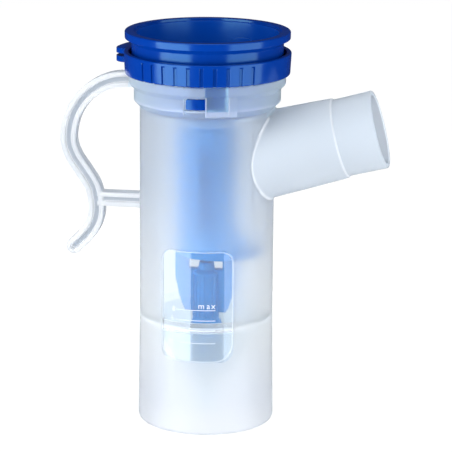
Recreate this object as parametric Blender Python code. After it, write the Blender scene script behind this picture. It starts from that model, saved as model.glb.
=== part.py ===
"""Jet nebulizer cup that stands on its own skirt.

Metres, +Z up, origin on the standing surface under the middle of the bounding box.
The upright body axis is parallel to Z. The outlet port points along +X and tilts up,
the hook handle is at -X, and the reading window and the front bayonet lug face -Y.
A blue insert (cup, air chimney, grip ring) locks into the clear body with a bayonet.
"""

import math

import bmesh
import bpy
from mathutils import Vector

# ---------------------------------------------------------------- driving dimensions
MM = 0.001
GAP = 0.3 * MM
SEGMENTS = 64
OVERSHOOT = 2.0 * MM

BASE_RADIUS = 19.35 * MM
BODY_RADIUS = 18.9 * MM
BODY_WALL = 1.8 * MM
BORE_RADIUS = BODY_RADIUS - BODY_WALL
BORE_TOP = 87.8 * MM
COLLAR_START = 90.9 * MM
COLLAR_BOTTOM = 92.6 * MM
COLLAR_TOP = 96.0 * MM
COLLAR_RADIUS = 20.55 * MM
COLLAR_BORE = 17.85 * MM
COLLAR_BORE_START = 89.2 * MM
SKIRT_TOP = 33.0 * MM
RIM_BOTTOM = 97.4 * MM
RIM_TOP = 99.8 * MM
RIM_RADIUS = 21.9 * MM

SLOT_BOTTOM = 93.1 * MM
SLOT_TOP = 96.6 * MM
SLOT_LEFT = -8.4
SLOT_RIGHT = 7.8
CHANNEL_RIGHT = 25.0
CHANNEL_RADIUS = 20.85 * MM
TRACK_BOX_RADIUS = 21.4 * MM
TRACK_BOX_BOTTOM = 91.6 * MM
TRACK_BOX_RIGHT = 31.7
LUG_CENTRE = 0.8
LUG_HALF_ANGLE = 8.1
UNLOCK_TURN = (SLOT_RIGHT + CHANNEL_RIGHT) / 2 - LUG_CENTRE

PORT_TILT = math.radians(15.1)
PORT_HEIGHT = 72.8 * MM
PORT_START = 8.0 * MM
PORT_STEP = 39.0 * MM
PORT_LENGTH = 50.4 * MM
PORT_ROOT_RADIUS = 12.5 * MM
PORT_STEP_RADIUS = 11.4 * MM
PORT_CONE_RADIUS = 10.85 * MM
PORT_TIP_RADIUS = 11.0 * MM
PORT_LIP = 0.5 * MM
PORT_BORE_RADIUS = 9.6 * MM

WINDOW_CENTRE = 0.8
WINDOW_HALF_ANGLE = 32.4
WINDOW_BOTTOM = 21.2 * MM
WINDOW_TOP = 53.4 * MM
WINDOW_CORNER = 3.5 * MM
WINDOW_RAISE = 0.25 * MM
WINDOW_ROOT = 0.6 * MM

BEAM_DEPTH = 4.4 * MM
BEAM_WIDTH = 4.4 * MM
BEAM_FLANGE = 1.4 * MM
BEAM_WEB = 1.6 * MM
STRUT_HEIGHT = 62.9 * MM
HOOK_TIP_RADIUS = 2.15 * MM
HANDLE_REACH = 41.8 * MM
PORT_REACH = PORT_LENGTH * math.cos(PORT_TILT) + (PORT_TIP_RADIUS - PORT_LIP) * math.sin(PORT_TILT)
AXIS_X = (HANDLE_REACH - PORT_REACH) / 2

FLOOR_TOP = 32.2 * MM
FLOOR_EDGE = 30.4 * MM
FLOOR_CENTRE = 15.2 * MM
FLOOR_THICKNESS = 1.6 * MM
TOWER_ROOT_RADIUS = 2.7 * MM
TOWER_TIP_RADIUS = 1.3 * MM
TOWER_TOP = 45.6 * MM
JET_HOLE_RADIUS = 0.6 * MM
SPIGOT_RADIUS = 3.3 * MM
SPIGOT_BORE = 1.9 * MM
SPIGOT_BOTTOM = 2.5 * MM

CAP_BOTTOM = 16.2 * MM
CAP_TOP = 48.3 * MM
CAP_FOOT_RADIUS = 4.9 * MM
CAP_SLEEVE_RADIUS = 4.1 * MM
CAP_SHOULDER = 42.6 * MM
CAP_TIP_TOP = 45.0 * MM
CAP_TIP_RADIUS = 2.0 * MM
WING_FOOT = 5.9 * MM
WING_BOTTOM = 30.8 * MM
WING_BEND = (8.05 * MM, 35.3 * MM)
WING_REACH = 8.75 * MM
WING_SHOULDER = 41.4 * MM
WING_HALF_THICKNESS = 1.3 * MM
MIST_GAP_BOTTOM = 43.45 * MM
MIST_GAP_TOP = 46.45 * MM
MIST_GAP_HALF = 4.9 * MM
BAFFLE_HALF_THICKNESS = 1.8 * MM
BAFFLE_STUD = 1.0 * MM
BAFFLE_STUD_DROP = 0.35 * MM

LIP_TOP = 112.05 * MM
LIP_BOTTOM = 110.0 * MM
LIP_RADIUS = 23.12 * MM
MOUTH_RADIUS = 20.1 * MM
NECK_RADIUS = 21.2 * MM
CUP_RADIUS = 17.5 * MM
CUP_BORE = 15.9 * MM
CUP_BOTTOM = 89.9 * MM
CUP_FLOOR = 91.5 * MM
CHIMNEY_RADIUS = 8.8 * MM
CHIMNEY_BORE = 7.6 * MM
CHIMNEY_BOTTOM = 57.0 * MM
DEFLECTOR_BOTTOM = 49.0 * MM
DEFLECTOR_REACH = 7.0 * MM
FIN_TOP = 78.0 * MM
FIN_BOTTOM = 58.0 * MM
FIN_REACH = 16.6 * MM

RING_BOTTOM = 100.1 * MM
RING_TOP = 106.2 * MM
RING_RADIUS = 23.4 * MM
RING_FOOT_RADIUS = 23.05 * MM
RING_BORE = 21.5 * MM
RING_GROOVE_BORE = 22.0 * MM
GRIP_GROOVES = 10
GRIP_PITCH = 9.05
GRIP_TOP = 105.4 * MM
THUMB_TAB_RADIUS = 26.6 * MM
THUMB_TAB_DEPTH = 4.0 * MM
THUMB_TAB_HALF_ANGLE = 17.0

BRACKET_LEFT = 4.9 * MM
BRACKET_RIGHT = 12.1 * MM
BRACKET_HALF_WIDTH = 9.1 * MM
BRACKET_WALL = 1.2 * MM
BRACKET_TOP = 108.7 * MM
PIN_X = 8.4 * MM
PIN_Z = 105.0 * MM
PIN_RADIUS = 0.7 * MM
FLAP_HALF_WIDTH = 7.3 * MM
FLAP_BOTTOM = 93.0 * MM

CLEAR_PLASTIC = ("frosted_clear", (0.80, 0.86, 0.93), 0.45)
BLUE_GLOSS = ("royal_blue_gloss", (0.01, 0.09, 0.60), 0.22)
BLUE_SATIN = ("royal_blue_satin", (0.02, 0.07, 0.42), 0.4)
BLUE_FLAP = ("pale_blue", (0.12, 0.25, 0.62), 0.4)


# ---------------------------------------------------------------- shared helpers
def empty_at(name, location, parent=None):
    obj = bpy.data.objects.new(name, None)
    bpy.context.collection.objects.link(obj)
    obj.parent = parent
    obj.location = location
    return obj


def material(spec):
    name, colour, roughness = spec
    mat = bpy.data.materials.get(name)
    if mat is None:
        mat = bpy.data.materials.new(name)
        mat.use_nodes = True
        shader = mat.node_tree.nodes["Principled BSDF"]
        shader.inputs["Base Color"].default_value = (*colour, 1.0)
        shader.inputs["Roughness"].default_value = roughness
        shader.inputs["Metallic"].default_value = 0.0
    return mat


def add_object(name, bm, parent, spec=None, location=(0, 0, 0)):
    """Turn a bmesh into a named object, smooth where its faces meet gently."""
    bmesh.ops.recalc_face_normals(bm, faces=bm.faces)
    mesh = bpy.data.meshes.new(name)
    bm.to_mesh(mesh)
    bm.free()
    mesh.shade_smooth()
    mesh.set_sharp_from_angle(angle=math.radians(35))
    obj = bpy.data.objects.new(name, mesh)
    bpy.context.collection.objects.link(obj)
    obj.parent = parent
    obj.location = location
    if spec:
        mesh.materials.append(material(spec))
    return obj


def boolean(target, tool, operation="DIFFERENCE"):
    """Add an exact Boolean and hide its tool."""
    modifier = target.modifiers.new(f"{operation.lower()}_{tool.name}", "BOOLEAN")
    modifier.operation = operation
    modifier.solver = "EXACT"
    modifier.object = tool
    tool.hide_render = True
    tool.display_type = "WIRE"


def turned(profile, segments=SEGMENTS, axis=(0, 0, 1)):
    """Spin a closed outline of (radius, height) points about the axis through 0, 0, 0."""
    bm = bmesh.new()
    verts = [bm.verts.new((radius, 0, height)) for radius, height in profile]
    edges = [bm.edges.new((a, b)) for a, b in zip(verts, verts[1:])]
    on_axis = profile[0][0] == 0 and profile[-1][0] == 0
    if not on_axis:
        edges.append(bm.edges.new((verts[-1], verts[0])))
    bmesh.ops.spin(bm, geom=verts + edges, cent=(0, 0, 0), axis=(0, 0, 1), dvec=(0, 0, 0),
                   angle=math.tau, steps=segments, use_merge=True)
    bmesh.ops.remove_doubles(bm, verts=bm.verts, dist=1e-6)
    if tuple(axis) != (0, 0, 1):
        turn = Vector((0, 0, 1)).rotation_difference(Vector(axis))
        bmesh.ops.transform(bm, matrix=turn.to_matrix().to_4x4(), verts=bm.verts)
    return bm


def extruded(outline, depth_axis, start, end):
    """Extrude a closed outline, given in the other two axes, from start to end."""
    bm = bmesh.new()
    order = {"X": (2, 0, 1), "Y": (0, 2, 1), "Z": (0, 1, 2)}[depth_axis]
    verts = []
    for u, v in outline:
        point = (u, v, start)
        verts.append(bm.verts.new([point[i] for i in order]))
    face = bm.faces.new(verts)
    moved = bmesh.ops.extrude_face_region(bm, geom=[face])["geom"]
    shift = [(0, 0, end - start)[i] for i in order]
    bmesh.ops.translate(bm, vec=shift, verts=[g for g in moved if isinstance(g, bmesh.types.BMVert)])
    return bm


def sector(inner, outer, bottom, top, first, last, steps=8):
    """Part of a ring. Angles are in degrees from -Y, turning towards +X."""
    bm = bmesh.new()
    columns = []
    for i in range(steps + 1):
        angle = math.radians(-90 + first + (last - first) * i / steps)
        across = Vector((math.cos(angle), math.sin(angle), 0))
        corners = ((inner, bottom), (outer, bottom), (outer, top), (inner, top))
        columns.append([bm.verts.new(across * r + Vector((0, 0, z))) for r, z in corners])
    for left, right in zip(columns, columns[1:]):
        for k in range(4):
            bm.faces.new((left[k], right[k], right[(k + 1) % 4], left[(k + 1) % 4]))
    bm.faces.new(columns[0])
    bm.faces.new(reversed(columns[-1]))
    return bm


def arc_points(centre, radius, first, last, steps):
    """Points on an arc in the profile plane, angles in degrees."""
    points = []
    for i in range(steps + 1):
        angle = math.radians(first + (last - first) * i / steps)
        points.append((centre[0] + radius * math.cos(angle), centre[1] + radius * math.sin(angle)))
    return points


def smooth_path(points, steps):
    """Catmull-Rom curve through the points."""
    ends = [points[0] * 2 - points[1]] + points + [points[-1] * 2 - points[-2]]
    path = []
    for p0, p1, p2, p3 in zip(ends, ends[1:], ends[2:], ends[3:]):
        for i in range(steps):
            t = i / steps
            path.append(0.5 * (2 * p1 + (p2 - p0) * t + (2 * p0 - 5 * p1 + 4 * p2 - p3) * t * t
                               + (3 * p1 - p0 - 3 * p2 + p3) * t ** 3))
    path.append(points[-1].copy())
    return path


def beam(path):
    """Sweep an I section along a path in the XZ plane; its web stands between two flanges."""
    half, web = BEAM_WIDTH / 2, BEAM_WEB / 2
    edge, inner = BEAM_DEPTH / 2, BEAM_DEPTH / 2 - BEAM_FLANGE
    section = [(edge, -half), (edge, half), (inner, half), (inner, web), (-inner, web), (-inner, half),
               (-edge, half), (-edge, -half), (-inner, -half), (-inner, -web), (inner, -web), (inner, -half)]
    bm = bmesh.new()
    rings = []
    for i, point in enumerate(path):
        along = path[min(i + 1, len(path) - 1)] - path[max(i - 1, 0)]
        across = Vector((-along.z, 0, along.x)).normalized()
        rings.append([bm.verts.new(point + across * u + Vector((0, v, 0))) for u, v in section])
    count = len(section)
    for first, second in zip(rings, rings[1:]):
        for k in range(count):
            bm.faces.new((first[k], first[(k + 1) % count], second[(k + 1) % count], second[k]))
    bm.faces.new(reversed(rings[0]))
    bm.faces.new(rings[-1])
    return bm


# ---------------------------------------------------------------- clear body
def body_outer_profile(offset=0.0):
    """Outer line of the body from the rim down to the base, as (radius, height)."""
    return [(RIM_RADIUS + offset, RIM_TOP),
            (RIM_RADIUS + offset, RIM_BOTTOM),
            (COLLAR_RADIUS + offset, COLLAR_TOP),
            (COLLAR_RADIUS + offset, COLLAR_BOTTOM),
            (BODY_RADIUS + offset, COLLAR_START),
            (BODY_RADIUS + offset, SKIRT_TOP),
            (BASE_RADIUS + offset, 1.2 * MM),
            (BASE_RADIUS - 0.4 * MM + offset, 0)]


def port_direction():
    return Vector((math.cos(PORT_TILT), 0, math.sin(PORT_TILT)))


def make_body_shell(parent):
    inner = [(BASE_RADIUS - BODY_WALL - 0.2 * MM, 0),
             (BORE_RADIUS, SKIRT_TOP),
             (BORE_RADIUS, BORE_TOP),
             (COLLAR_BORE, COLLAR_BORE_START),
             (COLLAR_BORE, RIM_TOP)]
    shell = add_object("body_shell", turned(body_outer_profile() + inner), parent, CLEAR_PLASTIC)
    for side, turn in (("front", 0), ("rear", 180)):
        box = add_object(f"tool_track_box_{side}",
                         sector(COLLAR_BORE + 0.5 * MM, TRACK_BOX_RADIUS, TRACK_BOX_BOTTOM,
                                RIM_TOP - 1.0 * MM, SLOT_RIGHT + turn, TRACK_BOX_RIGHT + turn), parent)
        boolean(shell, box, "UNION")
        window = add_object(f"tool_lug_window_{side}",
                            sector(COLLAR_BORE - OVERSHOOT, TRACK_BOX_RADIUS + OVERSHOOT, SLOT_BOTTOM,
                                   SLOT_TOP, SLOT_LEFT + turn, SLOT_RIGHT - 0.05 + turn), parent)
        boolean(shell, window)
        channel = add_object(f"tool_entry_channel_{side}",
                             sector(COLLAR_BORE - OVERSHOOT, CHANNEL_RADIUS, SLOT_BOTTOM,
                                    RIM_TOP + OVERSHOOT, SLOT_RIGHT - 0.4 + turn,
                                    CHANNEL_RIGHT + turn), parent)
        boolean(shell, channel)
    boolean(shell, add_object("tool_reading_window", window_pad(), parent), "UNION")
    bore = turned([(0, 0), (PORT_BORE_RADIUS, 0), (PORT_BORE_RADIUS, PORT_STEP), (0, PORT_STEP)],
                  axis=port_direction())
    hole = add_object("tool_port_hole", bore, parent, location=(0, 0, PORT_HEIGHT))
    boolean(shell, hole)
    return shell


def window_pad():
    """Curved plate with rounded corners that stands a little proud of the body at -Y."""
    reach = math.radians(WINDOW_HALF_ANGLE)
    inner, outer = BODY_RADIUS - WINDOW_ROOT, BODY_RADIUS + WINDOW_RAISE
    corner = WINDOW_CORNER
    half = outer * reach
    outline = []
    for across, up, first in ((half, WINDOW_TOP, 0), (-half, WINDOW_TOP, 90),
                              (-half, WINDOW_BOTTOM, 180), (half, WINDOW_BOTTOM, 270)):
        centre = (across - math.copysign(corner, across),
                  up - (corner if up == WINDOW_TOP else -corner))
        outline += arc_points(centre, corner, first, first + 90, 3)
    columns = 12
    cuts = [-half + 2 * half * i / columns for i in range(1, columns)]
    bm = extruded(outline, "Y", inner, outer)
    for cut in cuts:
        geometry = bm.verts[:] + bm.edges[:] + bm.faces[:]
        bmesh.ops.bisect_plane(bm, geom=geometry, plane_co=(cut, 0, 0), plane_no=(1, 0, 0), dist=1e-7)
    for vert in bm.verts:
        angle, radius = vert.co.x / outer + math.radians(WINDOW_CENTRE - 90), vert.co.y
        vert.co = (radius * math.cos(angle), radius * math.sin(angle), vert.co.z)
    return bm


def make_body_clearance(parent):
    """Solid of the body's outside plus the gap, which trims the pieces that meet it."""
    profile = body_outer_profile(GAP)
    profile = [(0, RIM_TOP + OVERSHOOT), (RIM_RADIUS + GAP, RIM_TOP + OVERSHOOT)] + profile[1:] + [(0, 0)]
    return add_object("tool_body_clearance", turned(profile), parent)


def make_outlet_port(parent, clearance):
    """Tilted tube with a stepped 22 mm cone at its free end."""
    profile = [(PORT_ROOT_RADIUS, PORT_START),
               (PORT_STEP_RADIUS, PORT_STEP - 0.6 * MM),
               (PORT_STEP_RADIUS - 0.3 * MM, PORT_STEP),
               (PORT_CONE_RADIUS, PORT_STEP + 0.4 * MM),
               (PORT_TIP_RADIUS, PORT_LENGTH - PORT_LIP),
               (PORT_TIP_RADIUS - PORT_LIP, PORT_LENGTH),
               (PORT_BORE_RADIUS + 0.3 * MM, PORT_LENGTH),
               (PORT_BORE_RADIUS, PORT_LENGTH - 0.4 * MM),
               (PORT_BORE_RADIUS, PORT_START)]
    port = add_object("outlet_port", turned(profile, axis=port_direction()), parent, CLEAR_PLASTIC,
                      location=(0, 0, PORT_HEIGHT))
    boolean(port, clearance)
    return port


def make_hook_handle(parent, clearance):
    """Curved I beam from the collar out, down and round into an open hook, with a strut."""
    route = [(-19.0, 97.6), (-23.2, 97.6), (-27.3, 97.0), (-31.4, 95.1), (-35.2, 91.9), (-38.0, 87.6),
             (-39.4, 82.8), (-39.5, 78.6), (-38.0, 74.6), (-35.35, 70.7), (-32.9, 66.8), (-31.8, 62.8),
             (-31.65, 58.9), (-32.6, 55.4), (-34.7, 52.1), (-38.1, 48.7)]
    path = smooth_path([Vector((x * MM, 0, z * MM)) for x, z in route], 3)
    handle = add_object("hook_handle", beam(path), parent, CLEAR_PLASTIC)
    strut_path = [Vector((x * MM, 0, STRUT_HEIGHT)) for x in (-32.0, -26.0, -17.0)]
    strut = add_object("tool_handle_strut", beam(strut_path), parent)
    boolean(handle, strut, "UNION")
    tip = extruded(arc_points((route[-1][0] * MM, route[-1][1] * MM), HOOK_TIP_RADIUS, 0, 345, 23), "Y",
                   -BEAM_WIDTH / 2 - 0.02 * MM, BEAM_WIDTH / 2 + 0.02 * MM)
    boolean(handle, add_object("tool_hook_tip", tip, parent), "UNION")
    boolean(handle, clearance)
    return handle


def make_reservoir_floor(parent):
    """Conical bowl that holds the medicine, closed but for the air jet's foot."""
    edge = BORE_RADIUS - GAP
    hole = TOWER_ROOT_RADIUS + GAP
    profile = [(edge, FLOOR_TOP), (edge, FLOOR_EDGE),
               (edge - 2.5 * MM, FLOOR_EDGE - 2.0 * MM),
               (7.0 * MM, FLOOR_CENTRE - FLOOR_THICKNESS + 1.0 * MM),
               (hole, FLOOR_CENTRE - FLOOR_THICKNESS),
               (hole, FLOOR_CENTRE),
               (6.6 * MM, FLOOR_CENTRE + 1.2 * MM),
               (edge - 2.2 * MM, FLOOR_TOP - 1.5 * MM),
               (edge - 0.8 * MM, FLOOR_TOP)]
    return add_object("reservoir_floor", turned(profile), parent, CLEAR_PLASTIC)


def make_air_jet(parent):
    """Tapered tower with the fine air hole in its tip."""
    bottom = FLOOR_CENTRE - FLOOR_THICKNESS
    profile = [(TOWER_TIP_RADIUS - 0.3 * MM, TOWER_TOP), (TOWER_TIP_RADIUS, TOWER_TOP - 0.5 * MM),
               (TOWER_TIP_RADIUS + 0.2 * MM, CAP_SHOULDER),
               (TOWER_ROOT_RADIUS, CAP_BOTTOM), (TOWER_ROOT_RADIUS, bottom),
               (SPIGOT_BORE, bottom), (SPIGOT_BORE, bottom + 6 * MM),
               (JET_HOLE_RADIUS, TOWER_TOP - 2.5 * MM), (JET_HOLE_RADIUS, TOWER_TOP)]
    return add_object("air_jet", turned(profile, 32), parent, CLEAR_PLASTIC)


def make_hose_spigot(parent):
    """Tapered plug under the floor that the air hose pushes onto."""
    top = FLOOR_CENTRE - FLOOR_THICKNESS - GAP
    profile = [(SPIGOT_RADIUS + 0.4 * MM, top), (SPIGOT_RADIUS, SPIGOT_BOTTOM + 5.0 * MM),
               (SPIGOT_RADIUS - 0.4 * MM, SPIGOT_BOTTOM), (SPIGOT_BORE, SPIGOT_BOTTOM), (SPIGOT_BORE, top)]
    return add_object("hose_spigot", turned(profile, 32), parent, CLEAR_PLASTIC)


# ---------------------------------------------------------------- nozzle cap
def make_nozzle_sleeve(parent):
    """Sleeve round the jet, which lifts the liquid up to the tip in a thin film."""
    bore = TOWER_ROOT_RADIUS + GAP
    profile = [(CAP_TIP_RADIUS, CAP_TIP_TOP), (CAP_TIP_RADIUS + 0.45 * MM, CAP_SHOULDER + 0.6 * MM),
               (CAP_SLEEVE_RADIUS, CAP_SHOULDER), (CAP_SLEEVE_RADIUS, WING_BOTTOM - 2 * MM),
               (CAP_FOOT_RADIUS, WING_BOTTOM - 4.8 * MM), (CAP_FOOT_RADIUS, CAP_BOTTOM),
               (bore + 0.5 * MM, CAP_BOTTOM), (bore, CAP_BOTTOM + 1.0 * MM),
               (TOWER_TIP_RADIUS + 0.2 * MM + GAP, CAP_SHOULDER),
               (TOWER_TIP_RADIUS + GAP, CAP_TIP_TOP)]
    return add_object("nozzle_sleeve", turned(profile, 48), parent, BLUE_SATIN)


def make_nozzle_wings(parent):
    """Two flat wings on the sleeve, whose upper posts carry the baffle over the jet."""
    root = CAP_SLEEVE_RADIUS + GAP
    steps = 6
    flank = []
    for i in range(steps + 1):
        t = i / steps
        flank.append(tuple(foot * (1 - t) ** 2 + bend * 2 * t * (1 - t) + shoulder * t * t
                           for foot, bend, shoulder in zip((WING_FOOT, WING_BOTTOM), WING_BEND,
                                                           (WING_REACH, WING_SHOULDER))))
    outline = [(root, WING_BOTTOM)] + flank + [(WING_REACH, CAP_TOP), (MIST_GAP_HALF, CAP_TOP),
                                               (MIST_GAP_HALF, MIST_GAP_BOTTOM), (root, MIST_GAP_BOTTOM)]
    for side, sign in (("left", -1), ("right", 1)):
        wing = extruded([(sign * across, up) for across, up in outline], "Y",
                        -WING_HALF_THICKNESS, WING_HALF_THICKNESS)
        add_object(f"nozzle_wing_{side}", wing, parent, BLUE_SATIN)


def make_impact_baffle(parent):
    """Bar between the wings' posts with a blunt stud that breaks the jet into mist."""
    half = MIST_GAP_HALF - GAP
    face, face_level = 0.7 * BAFFLE_STUD, MIST_GAP_TOP - BAFFLE_STUD_DROP
    outline = [(-half, CAP_TOP), (-half, MIST_GAP_TOP), (-BAFFLE_STUD, MIST_GAP_TOP),
               (-face, face_level), (face, face_level), (BAFFLE_STUD, MIST_GAP_TOP),
               (half, MIST_GAP_TOP), (half, CAP_TOP)]
    bar = extruded(outline, "Y", -BAFFLE_HALF_THICKNESS, BAFFLE_HALF_THICKNESS)
    return add_object("impact_baffle", bar, parent, BLUE_SATIN)


# ---------------------------------------------------------------- blue insert
def make_insert_cup(parent):
    """Flared lip, neck and inlet cup, with a round hole in its floor for the chimney."""
    hole = CHIMNEY_RADIUS + GAP
    profile = [(MOUTH_RADIUS + 0.5 * MM, LIP_TOP), (LIP_RADIUS - 0.35 * MM, LIP_TOP),
               (LIP_RADIUS, LIP_TOP - 0.35 * MM), (LIP_RADIUS - 0.05 * MM, LIP_BOTTOM + 0.3 * MM),
               (LIP_RADIUS - 0.4 * MM, LIP_BOTTOM), (NECK_RADIUS + 0.5 * MM, LIP_BOTTOM - 0.6 * MM),
               (NECK_RADIUS, LIP_BOTTOM - 1.4 * MM), (NECK_RADIUS, RING_BOTTOM),
               (CUP_RADIUS, RING_BOTTOM), (CUP_RADIUS, CUP_BOTTOM + 0.5 * MM),
               (CUP_RADIUS - 0.5 * MM, CUP_BOTTOM), (hole, CUP_BOTTOM), (hole, CUP_FLOOR),
               (CUP_BORE, CUP_FLOOR), (CUP_BORE, RING_BOTTOM + 1.6 * MM),
               (MOUTH_RADIUS - 0.6 * MM, RING_BOTTOM + 4.0 * MM),
               (MOUTH_RADIUS - 0.3 * MM, LIP_TOP - 0.7 * MM), (MOUTH_RADIUS, LIP_TOP - 0.6 * MM)]
    return add_object("insert_cup", turned(profile), parent, BLUE_GLOSS)


def make_chimney(parent):
    """Straight air tube from the cup's floor down into the body."""
    profile = [(CHIMNEY_RADIUS, CUP_FLOOR), (CHIMNEY_RADIUS, CHIMNEY_BOTTOM),
               (CHIMNEY_BORE, CHIMNEY_BOTTOM), (CHIMNEY_BORE, CUP_FLOOR)]
    return add_object("chimney_tube", turned(profile, 48), parent, BLUE_SATIN)


def make_deflector(parent):
    """Skirt below the chimney that flares towards the port and turns large drops back."""
    segments, levels = 48, 6
    top, bottom = CHIMNEY_BOTTOM - GAP, DEFLECTOR_BOTTOM
    bm = bmesh.new()
    walls = []
    for wall in (0, CHIMNEY_RADIUS - CHIMNEY_BORE):
        rings = []
        for level in range(levels + 1):
            drop = level / levels
            ring = []
            for i in range(segments):
                angle = math.tau * i / segments
                towards_port = ((1 + math.cos(angle)) / 2) ** 1.5
                radius = CHIMNEY_RADIUS - wall + DEFLECTOR_REACH * towards_port * drop ** 1.6
                height = top + (bottom - top) * drop
                ring.append(bm.verts.new((radius * math.cos(angle), radius * math.sin(angle), height)))
            rings.append(ring)
        for upper, lower in zip(rings, rings[1:]):
            bridge(bm, upper, lower)
        walls.append(rings)
    bridge(bm, walls[0][0], walls[1][0])
    bridge(bm, walls[0][-1], walls[1][-1])
    return add_object("droplet_deflector", bm, parent, BLUE_SATIN)


def bridge(bm, first, second):
    count = len(first)
    for k in range(count):
        bm.faces.new((first[k], first[(k + 1) % count], second[(k + 1) % count], second[k]))


def make_fins(parent):
    """Thin upright fins at the front and rear that keep the chimney central."""
    root = CHIMNEY_RADIUS + GAP
    for side, sign in (("front", -1), ("rear", 1)):
        outline = [(sign * root, FIN_BOTTOM), (sign * FIN_REACH, FIN_BOTTOM + 0.8 * MM),
                   (sign * FIN_REACH, FIN_TOP - 5.0 * MM), (sign * (FIN_REACH - 1.2 * MM), FIN_TOP - 2.0 * MM),
                   (sign * root, FIN_TOP + 3.0 * MM)]
        fin = extruded(outline, "X", -0.5 * MM, 0.5 * MM)
        add_object(f"guide_fin_{side}", fin, parent, BLUE_SATIN)


def make_grip_ring(parent):
    """Ribbed ring with a slotted thumb tab that shows where the insert drops in."""
    profile = [(RING_RADIUS - 0.3 * MM, RING_TOP), (RING_RADIUS, RING_TOP - 0.3 * MM),
               (RING_FOOT_RADIUS, RING_BOTTOM + 0.3 * MM), (RING_FOOT_RADIUS - 0.3 * MM, RING_BOTTOM),
               (RING_BORE, RING_BOTTOM), (RING_BORE, RING_TOP - 3.0 * MM),
               (RING_GROOVE_BORE, RING_TOP - 2.6 * MM), (RING_GROOVE_BORE, RING_TOP)]
    ring = add_object("grip_ring", turned(profile, 72), parent, BLUE_GLOSS)
    tab = thumb_tab(RING_TOP - THUMB_TAB_DEPTH, RING_TOP - 0.02 * MM, RING_GROOVE_BORE + 0.5 * MM)
    boolean(ring, add_object("tool_thumb_tab", tab, parent), "UNION")
    first = 270 - UNLOCK_TURN - THUMB_TAB_HALF_ANGLE
    slot = sector(RING_RADIUS + 0.25 * MM, THUMB_TAB_RADIUS + OVERSHOOT, RING_TOP - 2.35 * MM,
                  RING_TOP - 1.5 * MM, first - 4, first + 2 * THUMB_TAB_HALF_ANGLE + 4, 12)
    boolean(ring, add_object("tool_tab_slot", slot, parent))
    for side, turn in (("front", 0), ("rear", 180)):
        for index in range(GRIP_GROOVES):
            centre = LUG_CENTRE + (index - (GRIP_GROOVES - 1) / 2) * GRIP_PITCH + turn
            groove = sector(RING_FOOT_RADIUS - 0.4 * MM, RING_RADIUS + OVERSHOOT,
                            RING_BOTTOM - OVERSHOOT, GRIP_TOP, centre - 1.2, centre + 1.2, 1)
            boolean(ring, add_object(f"tool_grip_{side}_{index:02d}", groove, parent))
    return ring


def thumb_tab(bottom, top, inner):
    """Ring sector with rounded outer corners, seen from above, extruded upwards."""
    middle = math.radians(-90 + 270 - UNLOCK_TURN)
    half = math.radians(THUMB_TAB_HALF_ANGLE)
    steps = 14
    outline = []
    for i in range(steps + 1):
        share = -1 + 2 * i / steps
        radius = THUMB_TAB_RADIUS - 2.4 * MM * abs(share) ** 6
        outline.append((radius * math.cos(middle + share * half), radius * math.sin(middle + share * half)))
    for i in range(steps, -1, -1):
        angle = middle + (-1 + 2 * i / steps) * half
        outline.append((inner * math.cos(angle), inner * math.sin(angle)))
    return extruded(outline, "Z", bottom, top)


def make_lugs(parent):
    """Two bayonet lugs on the cup that ride in the body's slots."""
    for side, turn in (("front", 0), ("rear", 180)):
        lug = sector(CUP_RADIUS + GAP, CHANNEL_RADIUS - GAP, SLOT_BOTTOM + GAP, SLOT_TOP - GAP,
                     LUG_CENTRE - LUG_HALF_ANGLE + turn, LUG_CENTRE + LUG_HALF_ANGLE + turn)
        add_object(f"bayonet_lug_{side}", lug, parent, BLUE_GLOSS)


# ---------------------------------------------------------------- air flow flap
def make_flap_bracket(parent):
    """Two arch-topped cheeks joined by a low back wall; they carry the flap's pin."""
    half, wall = BRACKET_HALF_WIDTH, BRACKET_WALL
    foot = CUP_FLOOR + GAP
    plan = [(BRACKET_LEFT, -half), (BRACKET_RIGHT, -half), (BRACKET_RIGHT, half), (BRACKET_LEFT, half),
            (BRACKET_LEFT, half - wall), (BRACKET_RIGHT - wall, half - wall),
            (BRACKET_RIGHT - wall, -half + wall), (BRACKET_LEFT, -half + wall)]
    bracket = add_object("flap_bracket", extruded(plan, "Z", foot, BRACKET_TOP), parent, BLUE_GLOSS)
    corner = 2.6 * MM
    left, right, top = BRACKET_LEFT, BRACKET_RIGHT, BRACKET_TOP
    reach = half + OVERSHOOT
    far = top + OVERSHOOT
    waste = [(left - OVERSHOOT, far), (left - OVERSHOOT, top - corner)]
    waste += arc_points((left + corner, top - corner), corner, 180, 90, 6)
    waste += arc_points((right - corner, top - corner), corner, 90, 0, 6)
    waste += [(right + OVERSHOOT, top - corner), (right + OVERSHOOT, far)]
    boolean(bracket, add_object("tool_cheek_tops", extruded(waste, "Y", -reach, reach), parent))
    window = [(left, foot + 6 * MM), (right + OVERSHOOT, foot + 6 * MM), (right + OVERSHOOT, far), (left, far)]
    inside = half - wall - 0.001 * MM
    boolean(bracket, add_object("tool_between_cheeks", extruded(window, "Y", -inside, inside), parent))
    hole = turned([(0, -reach), (PIN_RADIUS + GAP, -reach), (PIN_RADIUS + GAP, reach), (0, reach)], 16,
                  axis=(0, 1, 0))
    boolean(bracket, add_object("tool_pin_hole", hole, parent, location=(PIN_X, 0, PIN_Z)))
    return bracket


def make_flap_pin(parent):
    """Thin pin through both cheeks."""
    half = BRACKET_HALF_WIDTH + 0.4 * MM
    profile = [(0, -half), (PIN_RADIUS, -half), (PIN_RADIUS, half), (0, half)]
    return add_object("flap_pin", turned(profile, 16, axis=(0, 1, 0)), parent, BLUE_SATIN,
                      location=(PIN_X, 0, PIN_Z))


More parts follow.
